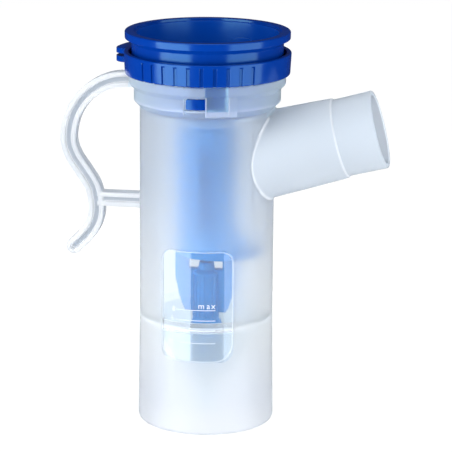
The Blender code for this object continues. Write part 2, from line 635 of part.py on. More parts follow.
def make_flow_flap(pivot):
    """Leaf that hangs from the pin and swings over the chimney's mouth as air is drawn in."""
    half = FLAP_HALF_WIDTH
    barrel = turned([(PIN_RADIUS + GAP, -half), (PIN_RADIUS + 1.1 * MM, -half),
                     (PIN_RADIUS + 1.1 * MM, half), (PIN_RADIUS + GAP, half)], 16, axis=(0, 1, 0))
    flap = add_object("flow_flap", barrel, pivot, BLUE_FLAP)
    thickness = 1.0 * MM
    shift = 0.25 * MM
    top, bottom = -PIN_RADIUS - 0.6 * MM, FLAP_BOTTOM - PIN_Z
    corner = 2.0 * MM
    outline = [(-half, top), (-half, bottom + corner), (-half + corner, bottom), (half - corner, bottom),
               (half, bottom + corner), (half, top)]
    leaf = extruded(outline, "X", shift - thickness / 2, shift + thickness / 2)
    boolean(flap, add_object("tool_flap_leaf", leaf, pivot), "UNION")
    return flap


# ---------------------------------------------------------------- assembly
def clear_scene():
    for obj in list(bpy.data.objects):
        bpy.data.objects.remove(obj, do_unlink=True)


def main():
    clear_scene()
    body = empty_at("clear_body", (AXIS_X, 0, 0))
    clearance = make_body_clearance(body)
    make_body_shell(body)
    make_outlet_port(body, clearance)
    make_hook_handle(body, clearance)
    make_reservoir_floor(body)
    make_air_jet(body)
    make_hose_spigot(body)
    make_nozzle_sleeve(body)
    make_nozzle_wings(body)
    make_impact_baffle(body)

    insert = empty_at("insert_axis", (0, 0, 0), body)
    make_insert_cup(insert)
    make_chimney(insert)
    make_deflector(insert)
    make_fins(insert)
    make_grip_ring(insert)
    make_lugs(insert)
    make_flap_bracket(insert)
    make_flap_pin(insert)

    flap_pivot = empty_at("flap_pivot", (PIN_X, 0, PIN_Z), insert)
    make_flow_flap(flap_pivot)


main()
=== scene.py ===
"""Looks of the jet nebulizer cup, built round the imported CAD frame.

Shapes are drawn in millimetres about the upright body axis and then moved into the frame,
whose axis is found from the boxes of the CAD nodes. Angles round the axis are in degrees
from -Y, turning towards +X.
"""
from math import atan2, cos, degrees, hypot, pi, radians, sin, sqrt, tan, tau

import bmesh
import bpy
from mathutils import Matrix, Vector


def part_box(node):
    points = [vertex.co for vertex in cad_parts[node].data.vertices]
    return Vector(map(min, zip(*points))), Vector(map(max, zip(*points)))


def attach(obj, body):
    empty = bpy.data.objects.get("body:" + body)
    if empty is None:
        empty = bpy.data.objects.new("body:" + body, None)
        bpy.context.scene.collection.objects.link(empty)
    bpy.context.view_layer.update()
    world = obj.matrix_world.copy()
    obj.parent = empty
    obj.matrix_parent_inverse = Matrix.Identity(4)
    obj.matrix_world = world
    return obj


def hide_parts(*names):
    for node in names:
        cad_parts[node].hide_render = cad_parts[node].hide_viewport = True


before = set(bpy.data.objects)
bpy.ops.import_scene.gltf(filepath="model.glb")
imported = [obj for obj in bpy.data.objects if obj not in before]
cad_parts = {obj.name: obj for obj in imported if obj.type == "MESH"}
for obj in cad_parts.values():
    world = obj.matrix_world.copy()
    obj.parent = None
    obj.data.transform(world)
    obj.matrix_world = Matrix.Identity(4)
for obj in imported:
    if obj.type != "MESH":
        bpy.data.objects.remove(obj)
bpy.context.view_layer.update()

MM = 0.001


# ---- sizes read from the frame
def box_mm(node):
    """Lowest and highest corner of a CAD node in millimetres."""
    low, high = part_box(node)
    return low / MM, high / MM


def measured(node):
    """Radius, bottom and top of an upright CAD node in millimetres."""
    low, high = box_mm(node)
    return (high.x - low.x) / 2, low.z, high.z


CUP_LOW, CUP_HIGH = box_mm("insert_cup")
AXIS_X = (CUP_LOW.x + CUP_HIGH.x) / 2
LIP_RADIUS, CUP_BOTTOM, LIP_TOP = measured("insert_cup")
RIM_RADIUS, _, RIM_TOP = measured("body_shell")
_, RING_BOTTOM, RING_TOP = measured("grip_ring")
CHIMNEY_RADIUS, CHIMNEY_BOTTOM, CHIMNEY_TOP = measured("chimney_tube")
_, DEFLECTOR_BOTTOM, DEFLECTOR_TOP = measured("droplet_deflector")
CAP_FOOT_RADIUS, CAP_BOTTOM, CAP_TIP_TOP = measured("nozzle_sleeve")
_, LUG_BOTTOM, LUG_TOP = measured("bayonet_lug_front")
BAFFLE_LOW, BAFFLE_HIGH = box_mm("impact_baffle")
CAP_TOP = BAFFLE_HIGH.z
WING_LOW, WING_HIGH = box_mm("nozzle_wing_right")
WING_REACH = WING_HIGH.x - AXIS_X
WING_BOTTOM = WING_LOW.z
JET_TOP = measured("air_jet")[2]
SPIGOT_BOTTOM = measured("hose_spigot")[1]

# ---- sizes repeated from the CAD
BODY_RADIUS = 18.9
BORE_RADIUS = 17.1
BASE_RADIUS = 19.35
BORE_TOP = 87.8
SKIRT_TOP = 33.0
WALL_MIDDLE = 60.0
GAP = 0.3
COLLAR_RADIUS = 20.55
COLLAR_BORE = 17.85
COLLAR_BORE_START = 89.2
COLLAR_START = 90.9
COLLAR_BOTTOM = 92.6
COLLAR_EDGE_TOP = 93.3
COLLAR_TOP = 96.0
COLLAR_PAINT_START = 89.5
RIM_BOTTOM = 97.4
SLOT_BOTTOM = 93.1
SLOT_TOP = 96.6
SLOT_LEFT = -8.4
SLOT_RIGHT = 7.8
CHANNEL_RIGHT = 25.0
CHANNEL_RADIUS = 20.85
TRACK_BOX_RADIUS = 21.4
TRACK_BOX_BOTTOM = 91.6
TRACK_BOX_RIGHT = 31.7
TRACK_END_BOTTOM = 92.0
RIB_HALF_ANGLE = 0.32
LUG_LEFT = -7.3
LUG_RIGHT = 8.9
LUG_MARK_ANGLE = 2.0
LUG_MARK_RADIUS = 0.55
LUG_MARK_DEPTH = 0.12
UNLOCK_TURN = 15.6

PORT_TILT = radians(15.1)
PORT_HEIGHT = 72.8
PORT_START = 8.0
PORT_STEP = 39.0
PORT_LENGTH = 50.4
PORT_ROOT_RADIUS = 12.5
PORT_STEP_RADIUS = 11.4
PORT_CONE_RADIUS = 10.85
PORT_TIP_RADIUS = 11.0
PORT_BORE_RADIUS = 9.6
PORT_FILLET = 1.3
PORT_STEP_DROP = 0.7
PORT_MOUTH_ROUNDING = 0.45
PORT_MEETS_WALL = 20.0
PORT_SEGMENTS = 144
PORT_LINE = (55, 89)

WINDOW_CENTRE = 0.8
WINDOW_HALF_ANGLE = 32.4
WINDOW_BOTTOM = 21.2
WINDOW_TOP = 53.4
WINDOW_TOP_CORNER = 3.5
WINDOW_BOTTOM_CORNER = 5.2
WINDOW_RAISE = 0.25
WINDOW_LINE_HALF_WIDTH = 0.15
WINDOW_LINE_RISE = 0.11
WINDOW_LINE_REACH = 11.5
WINDOW_LINE = (19.5, 55)

BEAM_DEPTH = 4.4
BEAM_WIDTH = 4.4
BEAM_FLANGE = 1.4
BEAM_WEB = 1.6
BEAM_INNER_ROUNDING = 0.45
BEAM_OUTER_ROUNDING = 0.4
STRUT_LEFT = -31.2
STRUT_RIGHT = -17.9
STRUT_HEIGHT = 62.9
HANDLE_ROUTE = [(-19.0, 97.6), (-23.2, 97.6), (-27.3, 97.0), (-31.4, 95.1), (-35.2, 91.9), (-38.0, 87.6),
                (-39.4, 82.8), (-39.5, 78.6), (-38.0, 74.6), (-35.35, 70.7), (-32.9, 66.8), (-31.8, 62.8),
                (-31.65, 58.9), (-32.6, 55.4), (-34.7, 52.1), (-38.1, 48.7)]
STRUT_HALF_HEIGHT = 2.05
STRUT_FLARE = 0.8
STRUT_FLARE_RISE = 0.5

FLOOR_TOP = 32.2
FLOOR_EDGE = 30.4
FLOOR_CENTRE = 15.2
FLOOR_THICKNESS = 1.6
TOWER_ROOT_RADIUS = 2.7
TOWER_TIP_RADIUS = 1.3
JET_HOLE_RADIUS = 0.6
JET_CROWN = 44.7
SPIGOT_RADIUS = 3.3
SPIGOT_BORE = 1.9

CAP_SLEEVE_RADIUS = 4.1
CAP_SHOULDER = 42.6
CAP_TIP_RADIUS = 2.0
WING_FOOT = 5.9
WING_BEND = (8.05, 35.3)
WING_SHOULDER = 41.4
MIST_GAP_BOTTOM = 43.45
MIST_GAP_TOP = 46.45
MIST_GAP_HALF = 4.9

LIP_BOTTOM = 110.0
MOUTH_RADIUS = 20.1
NECK_RADIUS = 21.2
CUP_RADIUS = 17.5
CUP_BORE = 15.9
CUP_FLOOR = 91.5
CHIMNEY_BORE = 7.6
DEFLECTOR_REACH = 7.0

RING_RADIUS = 23.4
RING_FOOT_RADIUS = 23.05
RING_BORE = 21.5
RING_GROOVE_BORE = 22.0
GRIP_GROOVES = 10
GRIP_CENTRE = 0.8
GRIP_PITCH = 9.05
GRIP_TOP = 105.4
GRIP_DEPTH = 0.42
GRIP_REACH = 22.6
GRIP_FADE = 0.4
THUMB_TAB_RADIUS = 26.6
THUMB_TAB_DEPTH = 4.0
THUMB_TAB_HALF_ANGLE = 17.0
THUMB_TAB_CORNER = 2.4
THUMB_SLOT = (2.35, 1.5)

# Raised volume marks on the window: height of each line, angle where it starts, its number.
VOLUME_MARKS = [(36.5, -16.5, "8"), (33.5, -16.5, "6"), (30.6, -16.5, "4"), (26.9, -12.8, "2")]
MARK_RIGHT = 17.3
MARK_HALF_WIDTH = 0.08
MARK_SINK = 0.02
MARK_RISE = 0.12
GLYPH_HALF_THICKNESS = 0.06
DIGIT_SIZE = 1.95
DIGIT_SHIFTS = {"8": (-1.9, -0.6), "6": (-3.35, -0.3), "4": (-8.2, -1.2), "2": (-7.4, -0.4)}
FULL_WORD = "max"
WORD_ANGLES = (5.3, 11.2, 15.3)
WORD_SIZE = 2.4
WORD_LIFT = 0.5

FINE = 192
MEDIUM = 96
SIDES = (("front", 0), ("rear", 180))


# ---- mesh helpers (millimetres)
def rounded(corners, steps=5):
    """Outline whose corners, each (across, up, radius), are replaced by arcs."""
    outline = []
    for before, corner, after in zip(corners[-1:] + corners[:-1], corners, corners[1:] + corners[:1]):
        point = Vector(corner[:2])
        to_before = Vector(before[:2]) - point
        to_after = Vector(after[:2]) - point
        half = to_before.angle(to_after) / 2
        if corner[2] == 0 or half > radians(89.5):
            outline.append(point)
            continue
        reach = min(corner[2] / tan(half), to_before.length * 0.49, to_after.length * 0.49)
        centre = point + (to_before.normalized() + to_after.normalized()).normalized() * reach / cos(half)
        first = point + to_before.normalized() * reach - centre
        last = point + to_after.normalized() * reach - centre
        start = atan2(first.y, first.x)
        turn = (atan2(last.y, last.x) - start + pi) % tau - pi
        for i in range(steps + 1):
            angle = start + turn * i / steps
            outline.append(centre + first.length * Vector((cos(angle), sin(angle))))
    return outline


def lathe(outline, segments=FINE, closed=True):
    """Turn an outline of (radius, height) about Z. An open outline starts and ends on the axis."""
    bm = bmesh.new()
    rings = []
    for radius, height in outline:
        if radius < 1e-6:
            rings.append([bm.verts.new((0, 0, height))])
            continue
        turns = [tau * i / segments for i in range(segments)]
        rings.append([bm.verts.new((radius * cos(turn), radius * sin(turn), height)) for turn in turns])
    join_all(bm, rings, closed)
    return bm


def join_rings(bm, first, second):
    """Faces between two closed rings of vertices, either of which may be a single point."""
    count = max(len(first), len(second))
    for k in range(count):
        corners = [first[k % len(first)], first[(k + 1) % len(first)],
                   second[(k + 1) % len(second)], second[k % len(second)]]
        distinct = []
        for vert in corners:
            if vert not in distinct:
                distinct.append(vert)
        bm.faces.new(distinct)


def join_all(bm, rings, closed=False):
    """Faces between neighbouring rings, and from the last ring to the first where closed."""
    for first, second in zip(rings, rings[1:] + rings[:1] if closed else rings[1:]):
        join_rings(bm, first, second)


def aimed(bm, direction, place):
    """Stand a turned shape on place with its axis along direction."""
    turn = Vector((0, 0, 1)).rotation_difference(Vector(direction)).to_matrix().to_4x4()
    bmesh.ops.transform(bm, matrix=Matrix.Translation(place) @ turn, verts=bm.verts)
    return bm


def prism(outline, start, end, bevel=0.0):
    """Extrude an outline of (x, y) from height start to end and round its edges."""
    bm = bmesh.new()
    face = bm.faces.new([bm.verts.new((x, y, start)) for x, y in outline])
    grown = bmesh.ops.extrude_face_region(bm, geom=[face])["geom"]
    top = [item for item in grown if isinstance(item, bmesh.types.BMVert)]
    bmesh.ops.translate(bm, vec=(0, 0, end - start), verts=top)
    bmesh.ops.recalc_face_normals(bm, faces=bm.faces)
    soften(bm, bevel)
    return bm


def soften(bm, width, steps=2, angle=50):
    """Bevel the edges that are sharper than angle and give back the new faces."""
    if width <= 0:
        return []
    sharp = [edge for edge in bm.edges if edge.is_manifold and edge.calc_face_angle() > radians(angle)]
    return bmesh.ops.bevel(bm, geom=sharp, offset=width, segments=steps, affect="EDGES", profile=0.5,
                           clamp_overlap=True)["faces"]


def wrapped_plate(corners, inner, outer, bevel=0.0, pitch=1.0, turn=0.0):
    """Plate bent round the axis. Corners are (arc length from -Y at the outer radius, height, rounding)."""
    outline = rounded(corners, 6)
    bm = prism(outline, inner, outer, bevel)
    across = [point.x for point in outline]
    cuts = int((max(across) - min(across)) / pitch)
    for i in range(1, cuts):
        place = min(across) + (max(across) - min(across)) * i / cuts
        bmesh.ops.bisect_plane(bm, geom=bm.verts[:] + bm.edges[:] + bm.faces[:], plane_co=(place, 0, 0),
                               plane_no=(1, 0, 0), dist=1e-5)
    for vert in bm.verts:
        vert.co = on_cylinder(degrees(vert.co.x / outer) + turn, vert.co.z, vert.co.y)
    return bm


def on_cylinder(angle, radius, height):
    turn = radians(angle - 90)
    return Vector((radius * cos(turn), radius * sin(turn), height))


def rectangle(left, right, low, high, radius=0):
    return [(left, low, radius), (right, low, radius), (right, high, radius), (left, high, radius)]


def block(inner, outer, bottom, top, first, last, bevel=0.0):
    """Part of a ring between two angles, with rounded edges."""
    corners = rectangle(radians(first) * outer, radians(last) * outer, bottom, top)
    return wrapped_plate(corners, inner, outer, bevel)


def swept_ring(path, section):
    """Sweep a closed section along a closed path. The path gives (point, across, out) at each station."""
    bm = bmesh.new()
    rings = [[bm.verts.new(point + across * u + out * v) for u, v in section] for point, across, out in path]
    join_all(bm, rings, closed=True)
    return bm


def smooth_path(points, steps):
    """Catmull-Rom curve through the points."""
    ends = [points[0] * 2 - points[1]] + points + [points[-1] * 2 - points[-2]]
    path = []
    for p0, p1, p2, p3 in zip(ends, ends[1:], ends[2:], ends[3:]):
        for i in range(steps):
            t = i / steps
            path.append(0.5 * (2 * p1 + (p2 - p0) * t + (2 * p0 - 5 * p1 + 4 * p2 - p3) * t * t
                               + (3 * p1 - p0 - 3 * p2 + p3) * t ** 3))
    path.append(points[-1].copy())
    return path


def placed(name, data):
    """Scene object for a mesh, a text, a light or the camera."""
    obj = bpy.data.objects.new(name, data)
    bpy.context.scene.collection.objects.link(obj)
    return obj


def mesh_from(name, bm):
    """Mesh with a shape's faces; the shape is used up."""
    mesh = bpy.data.meshes.new(name)
    bm.to_mesh(mesh)
    bm.free()
    return mesh


def merged(shapes):
    """Several closed shapes side by side in one; the shapes are used up."""
    whole = bmesh.new()
    for shape in shapes:
        mesh = mesh_from("merged", shape)
        whole.from_mesh(mesh)
        bpy.data.meshes.remove(mesh)
    return whole


def temporary(bm):
    """Object for a Boolean, with its faces pointing out."""
    bmesh.ops.recalc_face_normals(bm, faces=bm.faces)
    return placed("temporary", mesh_from("temporary", bm))


def combined(base, tools, operation):
    """Mesh object after exact Booleans with each tool in turn; the tools are used up."""
    for bm in tools:
        tool = temporary(bm)
        modifier = base.modifiers.new("combine", "BOOLEAN")
        modifier.operation = operation
        modifier.solver = "EXACT"
        modifier.object = tool
        evaluated = base.evaluated_get(bpy.context.evaluated_depsgraph_get())
        mesh = bpy.data.meshes.new_from_object(evaluated)
        base.modifiers.clear()
        base.data = mesh
        bpy.data.objects.remove(tool)
    return base


def as_bmesh(obj):
    bm = bmesh.new()
    bm.from_mesh(obj.data)
    bpy.data.objects.remove(obj)
    return bm


def piece(name, bm, body, materials, nodes=(), sharp=32):
    """Move a shape into the frame as a named piece that rides on a body and stands for CAD nodes."""
    bmesh.ops.recalc_face_normals(bm, faces=bm.faces)
    place = Matrix.Translation((AXIS_X * MM, 0, 0)) @ Matrix.Scale(MM, 4)
    bmesh.ops.transform(bm, matrix=place, verts=bm.verts)
    mesh = mesh_from(name, bm)
    mesh.shade_smooth()
    mesh.set_sharp_from_angle(angle=radians(sharp))
    for material in materials:
        mesh.materials.append(material)
    obj = placed(name, mesh)
    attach(obj, body)
    if nodes:
        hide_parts(*nodes)


# ---- materials
WHITE = (1.0, 1.0, 1.0)
NOISE_DETAIL = 3.0
CLOUD_SCALE = 70
CLOUD_DARKEST = 0.97
SKIRT_CLOUD_DARKEST = 0.98
MOTTLE_SCALE = 260
CLEAR_SATIN_SCALE = 1500
BLUE_SATIN_SCALE = 900
ROUGHNESS_SPREAD = 0.04
CLEAR_IOR = 1.42
CLEAR_GLOSS_TINT = (0.75, 0.88, 1.0)
CLEAR_GRAIN_SCALE = 3200
CLEAR_GRAIN_DEPTH = 0.00002
BLUE_IOR = 1.5
BLUE_GLOSS_TINT = (0.30, 0.76, 1.0)
BLUE_GRAIN_DEPTH = 0.00003

# Painted light: below these heights the wall is tinted lighter and made less clear, fading to its darker tint
# above them.
PAINTED_LIGHT_FULL_BELOW = 30.0
PAINTED_LIGHT_GONE_ABOVE = 80.0
LOW_WALL_PAINTED_LIGHT_TINT = (0.93, 0.96, 0.985)
LOW_TRANSMISSION = 0.91
# Painted shade: between these heights the skirt is tinted darker, toning down the table's light on the base.
SKIRT_LOW = 8.0
SKIRT_HIGH = 28.0
SKIRT_PAINTED_SHADE_TINT = (0.80, 0.835, 0.89)
WINDOW_TINT = (0.765, 0.845, 0.92)
WINDOW_ROUGHNESS = 0.08
WINDOW_GLOSS = 0.5
WINDOW_TRANSMISSION = 0.945
# Painted highlight: a lighter, less clear band round the wall where the bowl's thick edge joins it.
BAND_HEIGHT = 30.6
BAND_HALF_HEIGHT = 1.0
BAND_PAINTED_HIGHLIGHT_TINT = (0.95, 0.975, 1.0)
BAND_TRANSMISSION = 0.68


def new_material(name):
    material = bpy.data.materials.new(name)
    material.use_nodes = True
    return material, material.node_tree, material.node_tree.nodes["Principled BSDF"]


def feed(made, values):
    """Link or set a node's inputs, each named by its title or its place in the list."""
    for key, value in values.items():
        socket = made.inputs[key]
        if isinstance(value, bpy.types.NodeSocket):
            made.id_data.links.new(value, socket)
        else:
            socket.default_value = (*value, 1.0) if socket.type == "RGBA" else value
    return made


def node(tree, kind, values=(), **settings):
    made = tree.nodes.new(kind)
    for key, value in settings.items():
        setattr(made, key, value)
    return feed(made, dict(values))


def maths(operation, *values):
    tree = next(value for value in values if isinstance(value, bpy.types.NodeSocket)).id_data
    return node(tree, "ShaderNodeMath", enumerate(values), operation=operation).outputs[0]


def noise(tree, scale):
    """Noise over the piece; scale is in features per metre."""
    place = node(tree, "ShaderNodeTexCoord").outputs["Object"]
    return node(tree, "ShaderNodeTexNoise",
                {"Vector": place, "Scale": scale, "Detail": NOISE_DETAIL}).outputs["Fac"]


def between(value, low, high, start=0.0, end=1.0):
    """Map the range from start to end onto low to high."""
    inputs = {"Value": value, "From Min": start, "From Max": end, "To Min": low, "To Max": high}
    return node(value.id_data, "ShaderNodeMapRange", inputs).outputs["Result"]


def mixed(share, first, second, kind="RGBA"):
    """Mix two colours, or two numbers where kind is FLOAT; each is a socket or a value."""
    inputs = {"Factor": share, "A": first, "B": second}
    return node(share.id_data, "ShaderNodeMix", inputs, data_type=kind).outputs["Result"]


def grain(tree, scale, depth, strength):
    """Fine moulded grain as a bump; depth is in metres."""
    return node(tree, "ShaderNodeBump", {"Height": noise(tree, scale), "Distance": depth,
                                         "Strength": strength}).outputs["Normal"]


def satin(tree, scale, roughness):
    """Roughness that varies a little over the surface."""
    return between(noise(tree, scale), roughness - ROUGHNESS_SPREAD, roughness + ROUGHNESS_SPREAD)


def clouded(cloud, tint, darkest=CLOUD_DARKEST):
    """A tint that darkens slightly with the cloud noise."""
    return mixed(cloud, [channel * darkest for channel in tint], tint)


def place_on_piece(tree):
    """X, Y and Z of a point on the piece, in metres."""
    place = node(tree, "ShaderNodeTexCoord").outputs["Object"]
    return node(tree, "ShaderNodeSeparateXYZ", {0: place}).outputs


def height_share(tree, low, high):
    """0 below the low height and 1 above the high one, in millimetres."""
    return between(place_on_piece(tree)["Z"], 0.0, 1.0, low * MM, high * MM)


def floor_band_highlight_share(tree):
    """Soft 0 to 1 share round the height where the bowl's thick edge joins the wall, where the painted
    highlight band goes.
    """
    height = place_on_piece(tree)["Z"]
    away = maths("ABSOLUTE", maths("SUBTRACT", height, BAND_HEIGHT * MM))
    near = maths("SUBTRACT", 1.0, maths("DIVIDE", away, BAND_HALF_HEIGHT * MM))
    return maths("MAXIMUM", near, 0.0)


def square_sum(first, second):
    return maths("ADD", maths("MULTIPLY", first, first), maths("MULTIPLY", second, second))


def past(value, limit):
    """How far a value goes past a limit, or 0."""
    return maths("MAXIMUM", maths("SUBTRACT", value, limit), 0.0)


def window_mask(tree):
    """1 on the wall inside the reading window's outline and 0 elsewhere."""
    place = place_on_piece(tree)
    x = maths("SUBTRACT", place["X"], AXIS_X * MM)
    forward = maths("MULTIPLY", place["Y"], -1.0)
    angle = maths("SUBTRACT", maths("ARCTAN2", x, forward), radians(WINDOW_CENTRE))
    arc = maths("MULTIPLY", maths("ABSOLUTE", angle), BODY_RADIUS)
    half = radians(WINDOW_HALF_ANGLE) * BODY_RADIUS
    corner = WINDOW_TOP_CORNER
    middle, reach = (WINDOW_TOP + WINDOW_BOTTOM) / 2, (WINDOW_TOP - WINDOW_BOTTOM) / 2
    height = maths("MULTIPLY", place["Z"], 1 / MM)
    above = maths("ABSOLUTE", maths("SUBTRACT", height, middle))
    outside = square_sum(past(arc, half - corner), past(above, reach - corner))
    inside = maths("LESS_THAN", outside, corner * corner)
    on_wall = maths("GREATER_THAN", square_sum(x, forward), ((BORE_RADIUS - 0.2) * MM) ** 2)
    return maths("MULTIPLY", inside, on_wall)


def clear_plastic(name, tint, roughness, transmission, grain_strength=0.1, is_wall=False):
    """Milky clear polypropylene. On the wall the colour is painted: lighter low down as painted light, darker
    on the skirt as painted shade, and lighter in a band where the bowl joins it as a painted highlight; the
    wall also has a polished reading window.
    """
    material, tree, shader = new_material(name)
    cloud = noise(tree, CLOUD_SCALE)
    colour = clouded(cloud, tint)
    rough = satin(tree, CLEAR_SATIN_SCALE, roughness)
    if is_wall:
        rise = height_share(tree, PAINTED_LIGHT_FULL_BELOW, PAINTED_LIGHT_GONE_ABOVE)
        mask = window_mask(tree)
        band = floor_band_highlight_share(tree)
        # Painted light: lighter tint on the lower wall.
        colour = mixed(rise, clouded(cloud, LOW_WALL_PAINTED_LIGHT_TINT), colour)
        # Painted shade: darker tint on the skirt.
        skirt = clouded(cloud, SKIRT_PAINTED_SHADE_TINT, SKIRT_CLOUD_DARKEST)
        colour = mixed(height_share(tree, SKIRT_LOW, SKIRT_HIGH), skirt, colour)
        colour = mixed(mask, colour, WINDOW_TINT)
        # Painted highlight: lighter band where the bowl joins the wall.
        colour = mixed(band, colour, BAND_PAINTED_HIGHLIGHT_TINT)
        rough = mixed(mask, rough, WINDOW_ROUGHNESS, "FLOAT")
        # Painted light: the lower wall is also less clear, so it looks whiter.
        clear = between(rise, LOW_TRANSMISSION, transmission)
        clear = mixed(mask, clear, WINDOW_TRANSMISSION, "FLOAT")
        transmission = mixed(band, clear, BAND_TRANSMISSION, "FLOAT")
        feed(shader, {"Coat Weight": maths("MULTIPLY", mask, WINDOW_GLOSS),
                      "Coat Roughness": WINDOW_ROUGHNESS})
    if grain_strength:
        feed(shader, {"Normal": grain(tree, CLEAR_GRAIN_SCALE, CLEAR_GRAIN_DEPTH, grain_strength)})
    feed(shader, {"Base Color": colour, "Roughness": rough, "Transmission Weight": transmission,
                  "IOR": CLEAR_IOR, "Specular Tint": CLEAR_GLOSS_TINT})
    return material


def blue_plastic(name, deep, light, roughness, grain_scale=2600, grain_strength=0.12):
    """Opaque blue polypropylene with a slight mottle and a fine satin grain."""
    material, tree, shader = new_material(name)
    feed(shader, {"Base Color": mixed(noise(tree, MOTTLE_SCALE), deep, light),
                  "Roughness": satin(tree, BLUE_SATIN_SCALE, roughness),
                  "IOR": BLUE_IOR, "Specular Tint": BLUE_GLOSS_TINT,
                  "Normal": grain(tree, grain_scale, BLUE_GRAIN_DEPTH, grain_strength)})
    return material


FROSTED = clear_plastic("frosted_polypropylene", (0.77, 0.825, 0.89), 0.5, 0.945, is_wall=True)
COLLAR = clear_plastic("milky_collar", (0.75, 0.88, 0.97), 0.5, 0.87)
# Painted highlight: lighter band along the collar's lower edge.
COLLAR_EDGE_HIGHLIGHT = clear_plastic("collar_edge_painted_highlight", (0.80, 0.90, 1.0), 0.5, 0.80)
# Painted light: the bowl is tinted lighter than the wall to lift the shade under it.
BOWL_PAINTED_LIGHT = clear_plastic("milky_bowl_painted_light", (0.92, 0.98, 1.0), 0.45, 0.70)
# Painted highlight: near-white top edge of the bowl.
FLOOR_RIM_HIGHLIGHT = clear_plastic("floor_rim_painted_highlight", (0.98, 0.99, 1.0), 0.5, 0.8)
# Painted highlight: near-white lines on the port's step and round its root.
EDGE_HIGHLIGHT_LINE = clear_plastic("painted_edge_highlights", (0.91, 0.955, 1.0), 0.5, 0.62, grain_strength=0.0)
CHANNEL = clear_plastic("thin_channel_wall", (0.62, 0.86, 1.0), 0.3, 0.95)
# Painted highlight: lighter ribs on the tracks and the raised rim round the window.
RIB_HIGHLIGHTS = clear_plastic("painted_outline_highlights", (0.86, 0.92, 0.98), 0.35, 0.72, grain_strength=0.0)
PORT = clear_plastic("port_wall", (0.81, 0.88, 0.95), 0.5, 0.73)
# Painted shade: dark grey inside the port's bore.
PORT_BORE_SHADE = clear_plastic("port_bore_painted_shade", (0.42, 0.46, 0.52), 0.5, 0.92)
HANDLE = clear_plastic("handle_rim", (0.895, 0.925, 0.96), 0.55, 0.90)
# Painted shade: dark grey web between the handle's flanges.
WEB_SHADE = clear_plastic("handle_web_painted_shade", (0.43, 0.48, 0.55), 0.5, 0.88)
MARKING = clear_plastic("raised_marks", (0.90, 0.94, 0.99), 0.4, 0.68, grain_strength=0.0)
GLOSS_BLUE = blue_plastic("royal_blue_gloss", (0.0, 0.022, 0.195), (0.0, 0.028, 0.225), 0.17)
# Painted light: a lighter blue for inside the cup than on its outside.
CUP_PAINTED_LIGHT_BLUE = blue_plastic("royal_blue_cup_painted_light", (0.0, 0.034, 0.26), (0.0, 0.040, 0.29), 0.24, 2200, 0.2)
INNER_BLUE = blue_plastic("royal_blue_inner", (0.005, 0.22, 0.60), (0.01, 0.24, 0.64), 0.4)
PALE_BLUE = blue_plastic("pale_blue", (0.02, 0.11, 0.40), (0.03, 0.13, 0.44), 0.38)

MOULDING_FINISHES_AND_PAINTED_LIGHT = [FROSTED, COLLAR, CHANNEL, RIB_HIGHLIGHTS, PORT, PORT_BORE_SHADE, HANDLE, WEB_SHADE, BOWL_PAINTED_LIGHT, COLLAR_EDGE_HIGHLIGHT, FLOOR_RIM_HIGHLIGHT,
                     EDGE_HIGHLIGHT_LINE]


# ---- clear moulding
def shell_outline():
    """Wall, floor, jet tower and hose spigot as one outline, from the rim down the outside."""
    under = FLOOR_CENTRE - FLOOR_THICKNESS
    return rounded([
        (RIM_RADIUS, RIM_TOP, 0.35), (RIM_RADIUS, RIM_BOTTOM, 0.5),
        (COLLAR_RADIUS, COLLAR_TOP, 0.5), (COLLAR_RADIUS, COLLAR_EDGE_TOP, 0),
        (COLLAR_RADIUS, COLLAR_BOTTOM, 0.25), (BODY_RADIUS, COLLAR_START, 0.3),
        (BODY_RADIUS, WALL_MIDDLE, 0), (BODY_RADIUS, SKIRT_TOP, 0),
        (BASE_RADIUS, 0.8, 0.2), (BASE_RADIUS - 0.35, 0.0, 0.2), (BASE_RADIUS - 2.0, 0.0, 0.3),
        (BORE_RADIUS + 0.05, FLOOR_EDGE, 0.8),
        (BORE_RADIUS - 2.6, FLOOR_EDGE - 2.0, 1.5), (7.0, under + 1.0, 2.0),
        (SPIGOT_RADIUS + 0.4, under, 0.5), (SPIGOT_RADIUS, SPIGOT_BOTTOM + 5.0, 0),
        (SPIGOT_RADIUS - 0.4, SPIGOT_BOTTOM, 0.2), (SPIGOT_BORE, SPIGOT_BOTTOM, 0.2),
        (SPIGOT_BORE, under + 6.0, 0.3), (JET_HOLE_RADIUS, JET_TOP - 2.5, 0),
        (JET_HOLE_RADIUS, JET_CROWN, 0.1), (TOWER_TIP_RADIUS, JET_CROWN, 0.3),
        (TOWER_TIP_RADIUS + 0.2, CAP_SHOULDER, 0.5),
        (TOWER_ROOT_RADIUS, CAP_BOTTOM, 0), (TOWER_ROOT_RADIUS, FLOOR_CENTRE, 0.6),
        (6.6, FLOOR_CENTRE + 1.2, 1.5), (BORE_RADIUS - 2.4, FLOOR_TOP - 1.6, 1.5),
        (BORE_RADIUS, FLOOR_TOP, 0.6), (BORE_RADIUS, WALL_MIDDLE, 0), (BORE_RADIUS, BORE_TOP, 0.3),
        (COLLAR_BORE, COLLAR_BORE_START, 0.3), (COLLAR_BORE, RIM_TOP, 0.3)])


def port_direction():
    return Vector((cos(PORT_TILT), 0, sin(PORT_TILT)))


